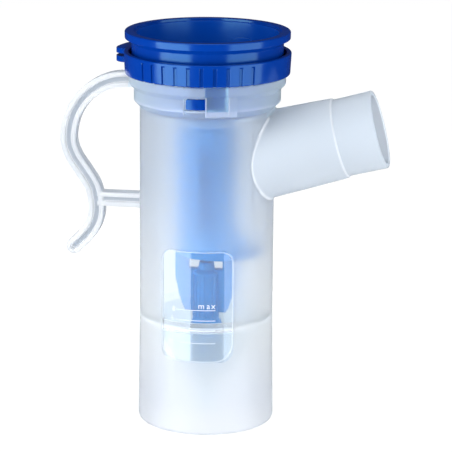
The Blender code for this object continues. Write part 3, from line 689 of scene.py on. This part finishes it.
def port_plug():
    """The port's outside as a closed plug that ends half way through the body's wall."""
    along = port_direction()
    up = Vector((-sin(PORT_TILT), 0, cos(PORT_TILT)))
    foot = Vector((0, 0, PORT_HEIGHT))
    root_end = PORT_STEP - PORT_STEP_DROP
    mid_wall = (BODY_RADIUS + BORE_RADIUS) / 2
    slope = (PORT_STEP_RADIUS - PORT_ROOT_RADIUS) / (root_end - PORT_START)
    # The first corner and the last two only steer the rounding of the ones between.
    profile = rounded([(0, PORT_LENGTH, 0), (PORT_TIP_RADIUS, PORT_LENGTH, PORT_MOUTH_ROUNDING),
                       (PORT_CONE_RADIUS, PORT_STEP + 0.35, 0.35), (PORT_STEP_RADIUS - 0.1, PORT_STEP, 0.45),
                       (PORT_STEP_RADIUS + 0.03, PORT_STEP - 3.0, 0), (0, PORT_MEETS_WALL, 0)])[1:-2]
    bm = bmesh.new()
    tip = bm.verts.new(foot + along * PORT_LENGTH)
    columns = []
    for k in range(PORT_SEGMENTS):
        turn = tau * k / PORT_SEGMENTS
        out = up * cos(turn) + Vector((0, sin(turn), 0))

        def at_wall(radius, wall):
            """Distance along the port where its line at this turn reaches the body's wall."""
            return (sqrt(wall ** 2 - (radius * sin(turn)) ** 2)
                    + radius * cos(turn) * sin(PORT_TILT)) / cos(PORT_TILT)

        def cone_radius(distance):
            return PORT_STEP_RADIUS + slope * (distance - root_end)

        reach = PORT_MEETS_WALL
        for _ in range(4):
            reach = at_wall(cone_radius(reach), BODY_RADIUS)
        corner = foot + along * reach + out * cone_radius(reach)
        normal = Vector((corner.x, corner.y, 0)).normalized()
        aside = (out - normal * out.dot(normal)).normalized()
        away = (along + out * slope).normalized()
        points = [foot + along * t + out * r for r, t in profile]
        for share in (0.7, 0.4, 0.2):
            distance = reach + PORT_FILLET + (root_end - reach - PORT_FILLET) * share
            points.append(foot + along * distance + out * cone_radius(distance))
        start, end = corner + away * PORT_FILLET, corner + aside * PORT_FILLET - normal * 0.12
        for i in range(7):
            t = i / 6
            points.append(start * (1 - t) ** 2 + corner * 2 * t * (1 - t) + end * t * t)
        points.append(end - normal * 0.7)
        for radius in (PORT_ROOT_RADIUS - 1.0, PORT_ROOT_RADIUS * 0.6, PORT_ROOT_RADIUS * 0.3):
            points.append(foot + along * at_wall(radius, mid_wall) + out * radius)
        columns.append([bm.verts.new(point) for point in points])
    root = bm.verts.new(foot + along * (mid_wall / cos(PORT_TILT)))
    join_all(bm, [[tip]] + [list(ring) for ring in zip(*columns)] + [[root]])
    return bm


def port_bore():
    """Cutter for the port's bore, from inside the body out past the rounded mouth."""
    outline = rounded([(0, PORT_START, 0), (PORT_BORE_RADIUS, PORT_START, 0),
                       (PORT_BORE_RADIUS, PORT_LENGTH - PORT_MOUTH_ROUNDING, 0.5),
                       (PORT_BORE_RADIUS + 0.5, PORT_LENGTH + 0.05, 0.0),
                       (PORT_BORE_RADIUS + 0.5, PORT_LENGTH + 2, 0), (0, PORT_LENGTH + 2, 0)])
    return aimed(lathe(outline, PORT_SEGMENTS, closed=False), port_direction(), (0, 0, PORT_HEIGHT))


def half_section(edge):
    """Half of the handle's I section as (across, sideways), from its middle out and back."""
    half, web, inner = BEAM_WIDTH / 2, BEAM_WEB / 2, edge - BEAM_FLANGE
    hollow, crest = BEAM_INNER_ROUNDING, BEAM_OUTER_ROUNDING
    corners = [(-2.0, web, 0), (inner, web, hollow), (inner, half, crest), (edge, half, hollow),
               (edge, -half, hollow), (inner, -half, crest), (inner, -web, hollow), (-2.0, -web, 0)]
    outline = rounded(corners, 4)[1:-1]
    return [(0.0, web)] + [tuple(point) for point in outline] + [(0.0, -web)]


def handle_hook():
    """I beam along the handle's route; its rim runs round the free tip."""
    path = smooth_path([Vector((x, 0, z)) for x, z in HANDLE_ROUTE], 8)
    stations = []
    for i, point in enumerate(path):
        along = (path[min(i + 1, len(path) - 1)] - path[max(i - 1, 0)]).normalized()
        stations.append((point, Vector((-along.z, 0, along.x))))
    tip, across = stations[-1]
    along = Vector((across.z, 0, -across.x))
    turns = 16
    round_tip = [(tip, across * cos(pi * i / turns) + along * sin(pi * i / turns)) for i in range(1, turns)]
    back = [(point, -across) for point, across in reversed(stations)]
    section = half_section(BEAM_DEPTH / 2)
    bm = bmesh.new()
    rows = [[bm.verts.new(point + out * u + Vector((0, v, 0))) for u, v in section]
            for point, out in stations + round_tip + back]
    for first, second in zip(rows, rows[1:]):
        for k in range(len(section) - 1):
            bm.faces.new((first[k], first[k + 1], second[k + 1], second[k]))
    bm.faces.new(rows[0] + rows[-1][::-1][1:-1])
    bmesh.ops.remove_doubles(bm, verts=bm.verts, dist=1e-4)
    bmesh.ops.dissolve_degenerate(bm, dist=1e-5, edges=bm.edges)
    return bm


def handle_strut():
    """Short I beam between the hook and the body, flared where it meets them."""
    bm = bmesh.new()
    rings = []
    count = 40
    for i in range(count + 1):
        x = STRUT_LEFT + (STRUT_RIGHT - STRUT_LEFT) * i / count
        near = max(0.0, 1 - (x - STRUT_LEFT + 0.9) / STRUT_FLARE, 1 - (-BODY_RADIUS - x + 0.2) / STRUT_FLARE)
        edge = STRUT_HALF_HEIGHT + STRUT_FLARE_RISE * min(near, 1.0) ** 2
        half = half_section(edge)
        section = half[:-1] + [(-u, v) for u, v in reversed(half[1:])]
        rings.append([bm.verts.new((x, v, STRUT_HEIGHT + u)) for u, v in section])
    join_all(bm, rings)
    bm.faces.new(rings[0])
    bm.faces.new(rings[-1][::-1])
    bmesh.ops.remove_doubles(bm, verts=bm.verts, dist=1e-4)
    return bm


def window_corners(grow=0.0):
    """Corners of the reading window as (arc length, height, rounding)."""
    half = radians(WINDOW_HALF_ANGLE) * (BODY_RADIUS + WINDOW_RAISE) + grow
    low, high = WINDOW_BOTTOM - grow, WINDOW_TOP + grow
    return [(half, high, WINDOW_TOP_CORNER), (-half, high, WINDOW_TOP_CORNER),
            (-half, low, WINDOW_BOTTOM_CORNER), (half, low, WINDOW_BOTTOM_CORNER)]


def window_rim():
    """Fine raised line round the reading window."""
    outline = rounded(window_corners(-0.3), 10)
    dense = []
    for start, end in zip(outline, outline[1:] + outline[:1]):
        count = max(1, round((end - start).length / 1.0))
        dense += [start + (end - start) * i / count for i in range(count)]
    surface = BODY_RADIUS + WINDOW_RAISE
    stations = []
    for i, point in enumerate(dense):
        step = (dense[(i + 1) % len(dense)] - dense[i - 1]).normalized()
        angle = degrees(point.x / surface) + WINDOW_CENTRE
        sideways = on_cylinder(angle + 90, 1.0, 0)
        across = sideways * step.y - Vector((0, 0, step.x))
        stations.append((on_cylinder(angle, surface, point.y), across, on_cylinder(angle, 1.0, 0)))
    width, root = WINDOW_LINE_HALF_WIDTH, -0.4
    section = [(width * cos(pi * i / 8), WINDOW_LINE_RISE * sin(pi * i / 8)) for i in range(9)]
    section += [(-width, root), (width, root)]
    return swept_ring(stations, section)


def make_clear_moulding():
    shell = temporary(lathe(shell_outline()))
    added, cut = [], []
    for _, turn in SIDES:
        added += [
            block(COLLAR_BORE + 0.5, TRACK_BOX_RADIUS, TRACK_BOX_BOTTOM, RIM_TOP - 1.0,
                  SLOT_RIGHT + turn, TRACK_BOX_RIGHT + turn, 0.12),
            block(COLLAR_BORE + 1.0, COLLAR_RADIUS + 0.45, TRACK_END_BOTTOM, RIM_BOTTOM + 0.2,
                  SLOT_LEFT - 0.95 + turn, SLOT_LEFT + turn, 0.1)]
        cut += [
            block(COLLAR_BORE - 2, TRACK_BOX_RADIUS + 2, SLOT_BOTTOM, SLOT_TOP,
                  SLOT_LEFT + turn, SLOT_RIGHT - 0.05 + turn),
            block(COLLAR_BORE - 2, CHANNEL_RADIUS, SLOT_BOTTOM, RIM_TOP + 2,
                  SLOT_RIGHT - 0.4 + turn, CHANNEL_RIGHT + turn)]
        added += [block(COLLAR_BORE + 1.0, TRACK_BOX_RADIUS + 0.1, TRACK_BOX_BOTTOM + 0.4, RIM_BOTTOM + 0.2,
                        angle - RIB_HALF_ANGLE + turn, angle + RIB_HALF_ANGLE + turn, 0.03)
                  for angle in (SLOT_RIGHT + 0.7, CHANNEL_RIGHT + 0.4)]
    window = wrapped_plate(window_corners(), BODY_RADIUS - 0.6, BODY_RADIUS + WINDOW_RAISE, 0.08,
                           turn=WINDOW_CENTRE)
    added += [window, window_rim(), port_plug(), handle_hook(), handle_strut()]
    cut.append(port_bore())
    combined(shell, added, "UNION")
    combined(shell, cut, "DIFFERENCE")
    bm = as_bmesh(shell)
    outside = [face for face in bm.faces if hypot(*face.calc_center_median().xy) > COLLAR_RADIUS + 0.3
               and TRACK_BOX_BOTTOM < face.calc_center_median().z < RIM_BOTTOM]
    edges = {edge for face in outside for edge in face.edges}
    verts = {vert for face in outside for vert in face.verts}
    bmesh.ops.bisect_plane(bm, geom=[*verts, *edges, *outside], plane_co=(0, 0, SLOT_BOTTOM),
                           plane_no=(0, 0, 1), dist=1e-5)
    for face in bm.faces:
        face.material_index = MOULDING_FINISHES_AND_PAINTED_LIGHT.index(moulding_finish_and_paint(face.calc_center_median()))
    piece("clear_moulding", bm, "clear_body", MOULDING_FINISHES_AND_PAINTED_LIGHT,
          ("body_shell", "outlet_port", "hook_handle", "reservoir_floor", "air_jet", "hose_spigot"))


def moulding_finish_and_paint(centre):
    """Material of the clear moulding round a point on its surface. Several are painted light: highlights on
    the port's step and root, the track ribs, the collar's lower edge, the window's rim and the bowl's top
    edge; shade in the port's bore and the handle's web; a lighter bowl.
    """
    window_line = BODY_RADIUS + WINDOW_RAISE + 0.02
    along = port_direction()
    from_foot = centre - Vector((0, 0, PORT_HEIGHT))
    reach = from_foot.dot(along)
    from_port = (from_foot - along * reach).length
    radius = hypot(centre.x, centre.y)
    angle = (degrees(atan2(centre.y, centre.x)) + 90) % 180
    # Painted shade inside the port's bore.
    if centre.x > BORE_RADIUS * 0.7 and reach > PORT_START and from_port < PORT_BORE_RADIUS + 0.2:
        return PORT_BORE_SHADE
    # Painted highlight on the port's step.
    if reach > PORT_START and abs(reach - PORT_STEP) < 0.4 and from_port > PORT_CONE_RADIUS + 0.05:
        return EDGE_HIGHLIGHT_LINE
    if radius > BODY_RADIUS + 0.5 and centre.x > 0 and from_port < PORT_ROOT_RADIUS + 0.1:
        return PORT
    on_hook = centre.x < -BODY_RADIUS and radius > RIM_RADIUS + 0.1
    on_strut = radius > window_line + 0.1 and centre.x < -BODY_RADIUS * 0.97 and centre.z < PORT_LINE[1]
    if on_hook or on_strut:
        # Painted shade on the web between the flanges.
        return WEB_SHADE if abs(centre.y) < BEAM_WEB / 2 + 0.1 else HANDLE
    # Painted highlight on the track ribs.
    if TRACK_BOX_RADIUS + 0.02 < radius < RIM_RADIUS - 0.05 and TRACK_BOX_BOTTOM < centre.z < COLLAR_TOP:
        return RIB_HIGHLIGHTS
    # Painted highlight along the collar's lower edge.
    if TRACK_BOX_BOTTOM - 0.1 < centre.z < COLLAR_EDGE_TOP and COLLAR_RADIUS - 0.4 < radius < RIM_RADIUS:
        return COLLAR_EDGE_HIGHLIGHT
    if centre.z > COLLAR_PAINT_START and radius < RIM_RADIUS + 0.1:
        return CHANNEL if SLOT_RIGHT < angle < CHANNEL_RIGHT and centre.z > SLOT_BOTTOM + 0.1 else COLLAR
    # Painted highlight on the window's rim.
    if (radius > window_line and centre.y < 0 and abs(centre.x) < WINDOW_LINE_REACH
            and WINDOW_LINE[0] < centre.z < WINDOW_LINE[1]):
        return RIB_HIGHLIGHTS
    # Painted highlight round the port's root.
    if centre.x > 0 and 0.15 < radius - BODY_RADIUS < 0.5 and PORT_LINE[0] < centre.z < PORT_LINE[1]:
        return EDGE_HIGHLIGHT_LINE
    # Painted light: the bowl is lighter than the wall, and its top edge is near white as a painted highlight.
    if radius < BORE_RADIUS - 0.02 and SPIGOT_BOTTOM < centre.z < JET_TOP + 0.1:
        return FLOOR_RIM_HIGHLIGHT if centre.z > FLOOR_EDGE - 0.8 and radius > BORE_RADIUS - 2.4 else BOWL_PAINTED_LIGHT
    return FROSTED


# ---- nozzle cap
def make_nozzle_cap():
    """Sleeve with a blue tip cone, two flat wings and fine ribs, in one moulding."""
    bore = TOWER_ROOT_RADIUS + GAP
    tip_bore = TOWER_TIP_RADIUS + GAP
    outline = rounded([
        (CAP_TIP_RADIUS, JET_TOP, 0.35), (CAP_TIP_RADIUS + 0.5, MIST_GAP_BOTTOM, 0.5),
        (CAP_SLEEVE_RADIUS - 0.3, CAP_SHOULDER, 0.6), (CAP_SLEEVE_RADIUS - 0.3, WING_BOTTOM - 2.0, 1.0),
        (CAP_FOOT_RADIUS, WING_BOTTOM - 4.8, 1.0), (CAP_FOOT_RADIUS, CAP_BOTTOM, 0.3),
        (bore + 0.5, CAP_BOTTOM, 0.1), (bore, CAP_BOTTOM + 1.0, 0.3),
        (tip_bore + 0.2, CAP_SHOULDER, 0.5), (tip_bore, CAP_TIP_TOP, 0.1),
        (JET_HOLE_RADIUS + 0.1, CAP_TIP_TOP, 0.05), (JET_HOLE_RADIUS + 0.1, JET_TOP, 0.15)])
    cap = temporary(lathe(outline, MEDIUM))
    ribs = []
    for angle in range(-60, 61, 20):
        for turn in (0, 180):
            ribs.append(block(CAP_SLEEVE_RADIUS - 1.0, CAP_SLEEVE_RADIUS - 0.02, WING_BOTTOM - 1.0,
                              CAP_SHOULDER - 0.6, angle - 3.2 + turn, angle + 3.2 + turn, 0.08))
    combined(cap, [make_wings()] + ribs, "UNION")
    piece("nozzle_cap", as_bmesh(cap), "clear_body", [INNER_BLUE],
          ("nozzle_sleeve", "nozzle_wing_left", "nozzle_wing_right"))
    face, level, half = 0.7, BAFFLE_LOW.z, BAFFLE_HIGH.x - AXIS_X
    outline = rounded([(-half, CAP_TOP, 0.15), (-half, MIST_GAP_TOP, 0.1), (-1.0, MIST_GAP_TOP, 0.15),
                       (-face, level, 0.1), (face, level, 0.1), (1.0, MIST_GAP_TOP, 0.15),
                       (half, MIST_GAP_TOP, 0.1), (half, CAP_TOP, 0.15)], 3)
    bar = prism(outline, -BAFFLE_HIGH.y, BAFFLE_HIGH.y, 0.12)
    piece("baffle_bar", stood_up(bar), "clear_body", [INNER_BLUE], ("impact_baffle",))


def stood_up(bm):
    """Turn a prism drawn in (x, z) so that its thickness lies along Y."""
    for vert in bm.verts:
        x, z, y = vert.co
        vert.co = (x, y, z)
    return bm


def make_wings():
    """Both wings as one flat plate with the mist gap cut out of its upper edge."""
    steps = 16
    curve = list(zip((WING_FOOT, WING_BOTTOM), WING_BEND, (WING_REACH, WING_SHOULDER)))
    flank = [tuple(foot * (1 - t) ** 2 + bend * 2 * t * (1 - t) + shoulder * t * t
                   for foot, bend, shoulder in curve) for t in [i / steps for i in range(steps + 1)]]
    right = flank + [(WING_REACH, CAP_TOP), (MIST_GAP_HALF, CAP_TOP), (MIST_GAP_HALF, MIST_GAP_BOTTOM),
                     (CAP_TIP_RADIUS + 0.1, MIST_GAP_BOTTOM), (CAP_TIP_RADIUS + 0.1, WING_BOTTOM)]
    outlines = [[(sign * across, up) for across, up in right] for sign in (1, -1)]
    return merged([stood_up(prism(outline, -WING_HIGH.y, WING_HIGH.y, 0.18)) for outline in outlines])


# ---- blue insert
def make_inlet_cup():
    hole = CHIMNEY_RADIUS + GAP
    outline = rounded([
        (MOUTH_RADIUS + 0.5, LIP_TOP, 0.15), (LIP_RADIUS, LIP_TOP, 0.4),
        (LIP_RADIUS - 0.05, LIP_BOTTOM, 0.2), (NECK_RADIUS + 0.5, LIP_BOTTOM - 0.25, 0.3),
        (NECK_RADIUS, LIP_BOTTOM - 1.2, 0.6), (NECK_RADIUS, RING_BOTTOM, 0.2),
        (CUP_RADIUS, RING_BOTTOM, 0.3), (CUP_RADIUS, CUP_BOTTOM, 0.5), (hole, CUP_BOTTOM, 0.1),
        (hole, CUP_FLOOR, 0.1), (CUP_BORE, CUP_FLOOR, 0.8), (CUP_BORE, RING_BOTTOM + 1.6, 1.2),
        (MOUTH_RADIUS - 0.6, RING_BOTTOM + 4.0, 1.5), (MOUTH_RADIUS - 0.3, LIP_TOP - 0.75, 0.1),
        (MOUTH_RADIUS + 0.45, LIP_TOP - 0.65, 0.1)])
    cup = lathe(outline)
    # Painted light: the inside of the cup gets the lighter blue.
    for face in cup.faces:
        centre = face.calc_center_median()
        inside = hypot(centre.x, centre.y) < MOUTH_RADIUS and centre.z > CUP_FLOOR - 0.2
        face.material_index = 1 if inside else 0
    piece("inlet_cup", cup, "insert", [GLOSS_BLUE, CUP_PAINTED_LIGHT_BLUE], ("insert_cup",))


def make_air_chimney():
    outline = rounded([(CHIMNEY_RADIUS, CHIMNEY_TOP, 0.1), (CHIMNEY_RADIUS, CHIMNEY_BOTTOM, 0.1),
                       (CHIMNEY_BORE, CHIMNEY_BOTTOM, 0.1), (CHIMNEY_BORE, CHIMNEY_TOP, 0.4)])
    piece("air_chimney", lathe(outline, MEDIUM), "insert", [INNER_BLUE], ("chimney_tube",))


def make_deflector_skirt():
    """Skirt below the chimney that flares towards the port."""
    levels = 20
    wall = CHIMNEY_RADIUS - CHIMNEY_BORE
    rows = [(0.0, i / levels) for i in range(levels + 1)]
    rows += [(wall, 1 - i / levels) for i in range(levels + 1)]
    bm = bmesh.new()
    rings = []
    for inset, drop in rows:
        ring = []
        for i in range(MEDIUM):
            angle = tau * i / MEDIUM
            towards_port = ((1 + cos(angle)) / 2) ** 1.5
            radius = CHIMNEY_RADIUS - inset + DEFLECTOR_REACH * towards_port * drop ** 1.6
            height = DEFLECTOR_TOP + (DEFLECTOR_BOTTOM - DEFLECTOR_TOP) * drop
            ring.append(bm.verts.new((radius * cos(angle), radius * sin(angle), height)))
        rings.append(ring)
    join_all(bm, rings, closed=True)
    piece("deflector_skirt", bm, "insert", [INNER_BLUE], ("droplet_deflector",))


def ring_angles():
    """Stations round the grip ring as (angle, groove depth share), closer together at the grooves."""
    stations = {index * 2.0: 0.0 for index in range(180)}
    for turn in (0, 180):
        for index in range(GRIP_GROOVES):
            centre = GRIP_CENTRE + (index - (GRIP_GROOVES - 1) / 2) * GRIP_PITCH + turn
            for angle in [a for a in stations if abs((a - centre + 180) % 360 - 180) < 1.9]:
                del stations[angle]
            for offset, depth in ((-1.45, 0.0), (-1.2, 0.25), (-1.0, 1.0), (0.0, 1.0),
                                  (1.0, 1.0), (1.2, 0.25), (1.45, 0.0)):
                stations[round((centre + offset) % 360, 2)] = depth
    return sorted(stations.items())


def thumb_tab():
    """Plate on the ring's rear left, with rounded outer corners and a slot along its edge."""
    middle = -90 - UNLOCK_TURN
    steps = 24
    stations = [(share, THUMB_TAB_RADIUS - THUMB_TAB_CORNER * abs(share) ** 6)
                for share in [-1 + 2 * i / steps for i in range(steps + 1)]]
    stations += [(share, RING_GROOVE_BORE + 0.5) for share, _ in reversed(stations)]
    outline = [on_cylinder(middle + share * THUMB_TAB_HALF_ANGLE, radius, 0).xy for share, radius in stations]
    tab = prism(outline, RING_TOP - THUMB_TAB_DEPTH, RING_TOP - 0.02, 0.22)
    slot = block(RING_RADIUS + 0.25, THUMB_TAB_RADIUS + 2, RING_TOP - THUMB_SLOT[0], RING_TOP - THUMB_SLOT[1],
                 middle - THUMB_TAB_HALF_ANGLE - 4, middle + THUMB_TAB_HALF_ANGLE + 4)
    return tab, slot


def make_ribbed_ring():
    outline = rounded([(RING_RADIUS, RING_TOP, 0.35), (RING_RADIUS - 0.045, GRIP_TOP + 0.05, 0),
                       (RING_RADIUS - 0.07, GRIP_TOP - 0.4, 0), (RING_RADIUS - 0.09, GRIP_TOP - 0.7, 0),
                       (RING_FOOT_RADIUS + 0.06, RING_BOTTOM + 0.9, 0), (RING_FOOT_RADIUS, RING_BOTTOM, 0.35),
                       (RING_BORE, RING_BOTTOM, 0.1), (RING_BORE, RING_TOP - 3.0, 0.1),
                       (RING_GROOVE_BORE, RING_TOP - 2.6, 0.1), (RING_GROOVE_BORE, RING_TOP, 0.2)])
    bm = bmesh.new()
    fades = [min(max((GRIP_TOP - height) / GRIP_FADE, 0.0), 1.0) if radius > GRIP_REACH else 0.0
             for radius, height in outline]
    columns = [[bm.verts.new(on_cylinder(angle, radius - GRIP_DEPTH * share * fade, height))
                for (radius, height), fade in zip(outline, fades)] for angle, share in ring_angles()]
    join_all(bm, columns, closed=True)
    ring = temporary(bm)
    tab, slot = thumb_tab()
    combined(ring, [tab], "UNION")
    combined(ring, [slot], "DIFFERENCE")
    piece("ribbed_ring", as_bmesh(ring), "insert", [GLOSS_BLUE], ("grip_ring",), sharp=24)


def make_lugs():
    """Bayonet lugs with rounded leading corners and a small round witness mark sunk in the face."""
    outer = CHANNEL_RADIUS - GAP
    for side, turn in SIDES:
        left, right = radians(LUG_LEFT + turn) * outer, radians(LUG_RIGHT + turn) * outer
        lug = wrapped_plate([(left, LUG_BOTTOM, 0.55), (right, LUG_BOTTOM, 0.1), (right, LUG_TOP, 0.1),
                             (left, LUG_TOP, 0.55)],
                            CUP_RADIUS + GAP, outer, 0.15, 0.5)
        cutter = rounded(rectangle(0, LUG_MARK_RADIUS, 0.0, 1.0))
        mark = aimed(lathe(cutter, 32, closed=False), on_cylinder(LUG_MARK_ANGLE + turn, 1.0, 0),
                     on_cylinder(LUG_MARK_ANGLE + turn, outer - LUG_MARK_DEPTH, (LUG_BOTTOM + LUG_TOP) / 2))
        lug = temporary(lug)
        combined(lug, [mark], "DIFFERENCE")
        piece(f"lug_{side}", as_bmesh(lug), "insert", [GLOSS_BLUE], (f"bayonet_lug_{side}",))


def refined(node_name, name, body, materials, width):
    """Copy of a CAD node's shape with its edges rounded; the last material goes on those edges, and where it
    is a lighter blue it is a painted highlight.
    """
    bm = bmesh.new()
    bm.from_mesh(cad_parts[node_name].data)
    bmesh.ops.scale(bm, vec=(1 / MM,) * 3, verts=bm.verts)
    bmesh.ops.translate(bm, vec=(-AXIS_X, 0, 0), verts=bm.verts)
    bmesh.ops.remove_doubles(bm, verts=bm.verts, dist=1e-3)
    bmesh.ops.dissolve_limit(bm, angle_limit=radians(1), verts=bm.verts, edges=bm.edges)
    for face in soften(bm, width, 3, 60):
        face.material_index = len(materials) - 1
    piece(name, bm, body, materials, (node_name,))


def make_small_blue_parts():
    # Painted highlight: the bracket's rounded edges get the lighter inner blue; its body gets the cup's
    # lighter blue, painted light.
    refined("flap_bracket", "flap_bracket_cheeks", "insert", [CUP_PAINTED_LIGHT_BLUE, INNER_BLUE], 0.25)
    refined("flow_flap", "air_flap", "flap", [PALE_BLUE], 0.12)
    for node_name, name in (("flap_pin", "hinge_pin"), ("guide_fin_front", "fin_front"),
                            ("guide_fin_rear", "fin_rear")):
        refined(node_name, name, "insert", [INNER_BLUE], 0.15)


# ---- volume marks
def glyph(text, angle, height, size, surface):
    """One raised character on the window, as a closed plate."""
    curve = bpy.data.curves.new("glyph", "FONT")
    curve.body, curve.size, curve.align_x = text, size, "CENTER"
    curve.extrude, curve.resolution_u = GLYPH_HALF_THICKNESS, 4
    obj = placed("glyph", curve)
    mesh = bpy.data.meshes.new_from_object(obj.evaluated_get(bpy.context.evaluated_depsgraph_get()))
    bpy.data.objects.remove(obj)
    bm = bmesh.new()
    bm.from_mesh(mesh)
    bmesh.ops.remove_doubles(bm, verts=bm.verts, dist=1e-5)
    for vert in bm.verts:
        x, y, z = vert.co
        vert.co = on_cylinder(angle + degrees(x / surface), surface + 0.09 + z, height + y)
    return bm


def make_volume_marks():
    surface = BODY_RADIUS + WINDOW_RAISE
    shapes = []
    for height, left, digit in VOLUME_MARKS:
        first, last = radians(left) * surface, radians(MARK_RIGHT) * surface
        half = MARK_HALF_WIDTH
        line = rectangle(first, last, height - half, height + half, half * 0.9)
        shapes.append(wrapped_plate(line, surface + MARK_SINK, surface + MARK_RISE))
        aside, lift = DIGIT_SHIFTS[digit]
        shapes.append(glyph(digit, left + aside, height + lift, DIGIT_SIZE, surface))
    for letter, angle in zip(FULL_WORD, WORD_ANGLES):
        shapes.append(glyph(letter, angle, VOLUME_MARKS[0][0] + WORD_LIFT, WORD_SIZE, surface))
    piece("volume_marks", merged(shapes), "clear_body", [MARKING])


# ---- studio
CAMERA_AZIMUTH = 9.4
CAMERA_ELEVATION = 14.37
CAMERA_DISTANCE = 654.3
CAMERA_ROLL = 0.336
CAMERA_TARGET_HEIGHT = 56.0
FOCAL_LENGTH = 183.75
FRAME_SHIFT = (0.0428, -0.0009)
SOFTBOX_ANGLE = 52.0
SOFTBOX_DISTANCE = 0.65
SOFTBOX_SIZE = (0.60, 1.0)
LEFT_RADIANCE = 5.5
RIGHT_RADIANCE = 3.4
LIGHT_TURN = 2.4
# A weak overhead light keeps faces that look up from being darker than the sides.
TOP_RADIANCE = 1.8
TOP_SIZE = 0.7
TOP_HEIGHT = 0.75
SOFTBOX_HEIGHT = 0.08
DIFFUSE_GLOW = 0.30
GLOSSY_GLOW = 0.03
TABLE_GREY = (0.1, 0.1, 0.1)
TABLE_GLOW = 0.92
TABLE_GLOW_SEEN = 0.95
TABLE_HALF_SIZE = 3.0
TABLE_TOP = -0.0003


def make_camera():
    azimuth, elevation = radians(CAMERA_AZIMUTH), radians(CAMERA_ELEVATION)
    back = Vector((sin(azimuth) * cos(elevation), -cos(azimuth) * cos(elevation), sin(elevation)))
    right = Vector((cos(azimuth), sin(azimuth), 0))
    up = back.cross(right)
    roll = radians(CAMERA_ROLL)
    right, up = right * cos(roll) + up * sin(roll), up * cos(roll) - right * sin(roll)
    target = Vector((AXIS_X, 0, CAMERA_TARGET_HEIGHT))
    data = bpy.data.cameras.new("camera")
    data.lens = FOCAL_LENGTH
    data.shift_x, data.shift_y = FRAME_SHIFT
    data.clip_start, data.clip_end = 0.01, 20.0
    camera = placed("camera", data)
    turn = Matrix((right, up, back)).transposed().to_4x4()
    camera.matrix_world = Matrix.Translation((target + back * CAMERA_DISTANCE) * MM) @ turn
    bpy.context.scene.camera = camera


def make_softbox(name, angle, radiance):
    """Tall soft light at an angle from the camera's side of the object."""
    turn = radians(CAMERA_AZIMUTH + LIGHT_TURN + angle)
    towards = Vector((sin(turn), -cos(turn), 0))
    place = towards * SOFTBOX_DISTANCE + Vector((AXIS_X * MM, 0, SOFTBOX_HEIGHT))
    box = area_light(name, SOFTBOX_SIZE, radiance, place)
    box.rotation_euler = towards.to_track_quat("Z", "Y").to_euler()


def area_light(name, size, radiance, place):
    light = bpy.data.lights.new(name, "AREA")
    light.shape = "RECTANGLE"
    light.size, light.size_y = size
    light.energy = radiance * pi * size[0] * size[1]
    box = placed(name, light)
    box.location = place
    return box


def make_world():
    """Bright white surround for what is seen directly or through the plastic, dark for gloss."""
    world = bpy.data.worlds.new("studio")
    world.use_nodes = True
    tree = world.node_tree
    path = node(tree, "ShaderNodeLightPath").outputs
    diffuse = maths("MULTIPLY", path["Is Diffuse Ray"], DIFFUSE_GLOW)
    glossy = maths("MULTIPLY", path["Is Glossy Ray"], GLOSSY_GLOW)
    seen = maths("MAXIMUM", path["Is Camera Ray"], path["Is Transmission Ray"])
    strength = maths("MAXIMUM", maths("ADD", diffuse, glossy), seen)
    feed(tree.nodes["Background"], {"Color": WHITE, "Strength": strength})
    bpy.context.scene.world = world


def make_floor():
    """Plain white light table."""
    bm = bmesh.new()
    bmesh.ops.create_grid(bm, x_segments=1, y_segments=1, size=TABLE_HALF_SIZE)
    mesh = mesh_from("floor", bm)
    material, tree, shader = new_material("white_table")
    seen = node(tree, "ShaderNodeLightPath").outputs["Is Camera Ray"]
    feed(shader, {"Base Color": TABLE_GREY, "Roughness": 1.0, "Specular IOR Level": 0.0,
                  "Emission Color": WHITE, "Emission Strength": between(seen, TABLE_GLOW, TABLE_GLOW_SEEN)})
    mesh.materials.append(material)
    floor = placed("floor", mesh)
    floor.location.z = TABLE_TOP
    floor.visible_glossy = False
    floor.visible_shadow = False


def set_rendering():
    bpy.context.scene.view_settings.view_transform = "Standard"
    cycles = bpy.context.scene.cycles
    cycles.use_denoising = True
    cycles.max_bounces = 24
    cycles.transmission_bounces = 20
    cycles.glossy_bounces = cycles.diffuse_bounces = 6
    cycles.caustics_reflective = cycles.caustics_refractive = True
    cycles.sample_clamp_indirect = 6.0


# ---- everything
make_camera()
make_clear_moulding()
make_nozzle_cap()
make_inlet_cup()
make_air_chimney()
make_deflector_skirt()
make_ribbed_ring()
make_lugs()
make_small_blue_parts()
make_volume_marks()
make_softbox("softbox_left", -SOFTBOX_ANGLE, LEFT_RADIANCE)
make_softbox("softbox_right", SOFTBOX_ANGLE, RIGHT_RADIANCE)
area_light("softbox_top", (TOP_SIZE, TOP_SIZE), TOP_RADIANCE, (AXIS_X * MM, 0, TOP_HEIGHT))
make_world()
make_floor()
set_rendering()
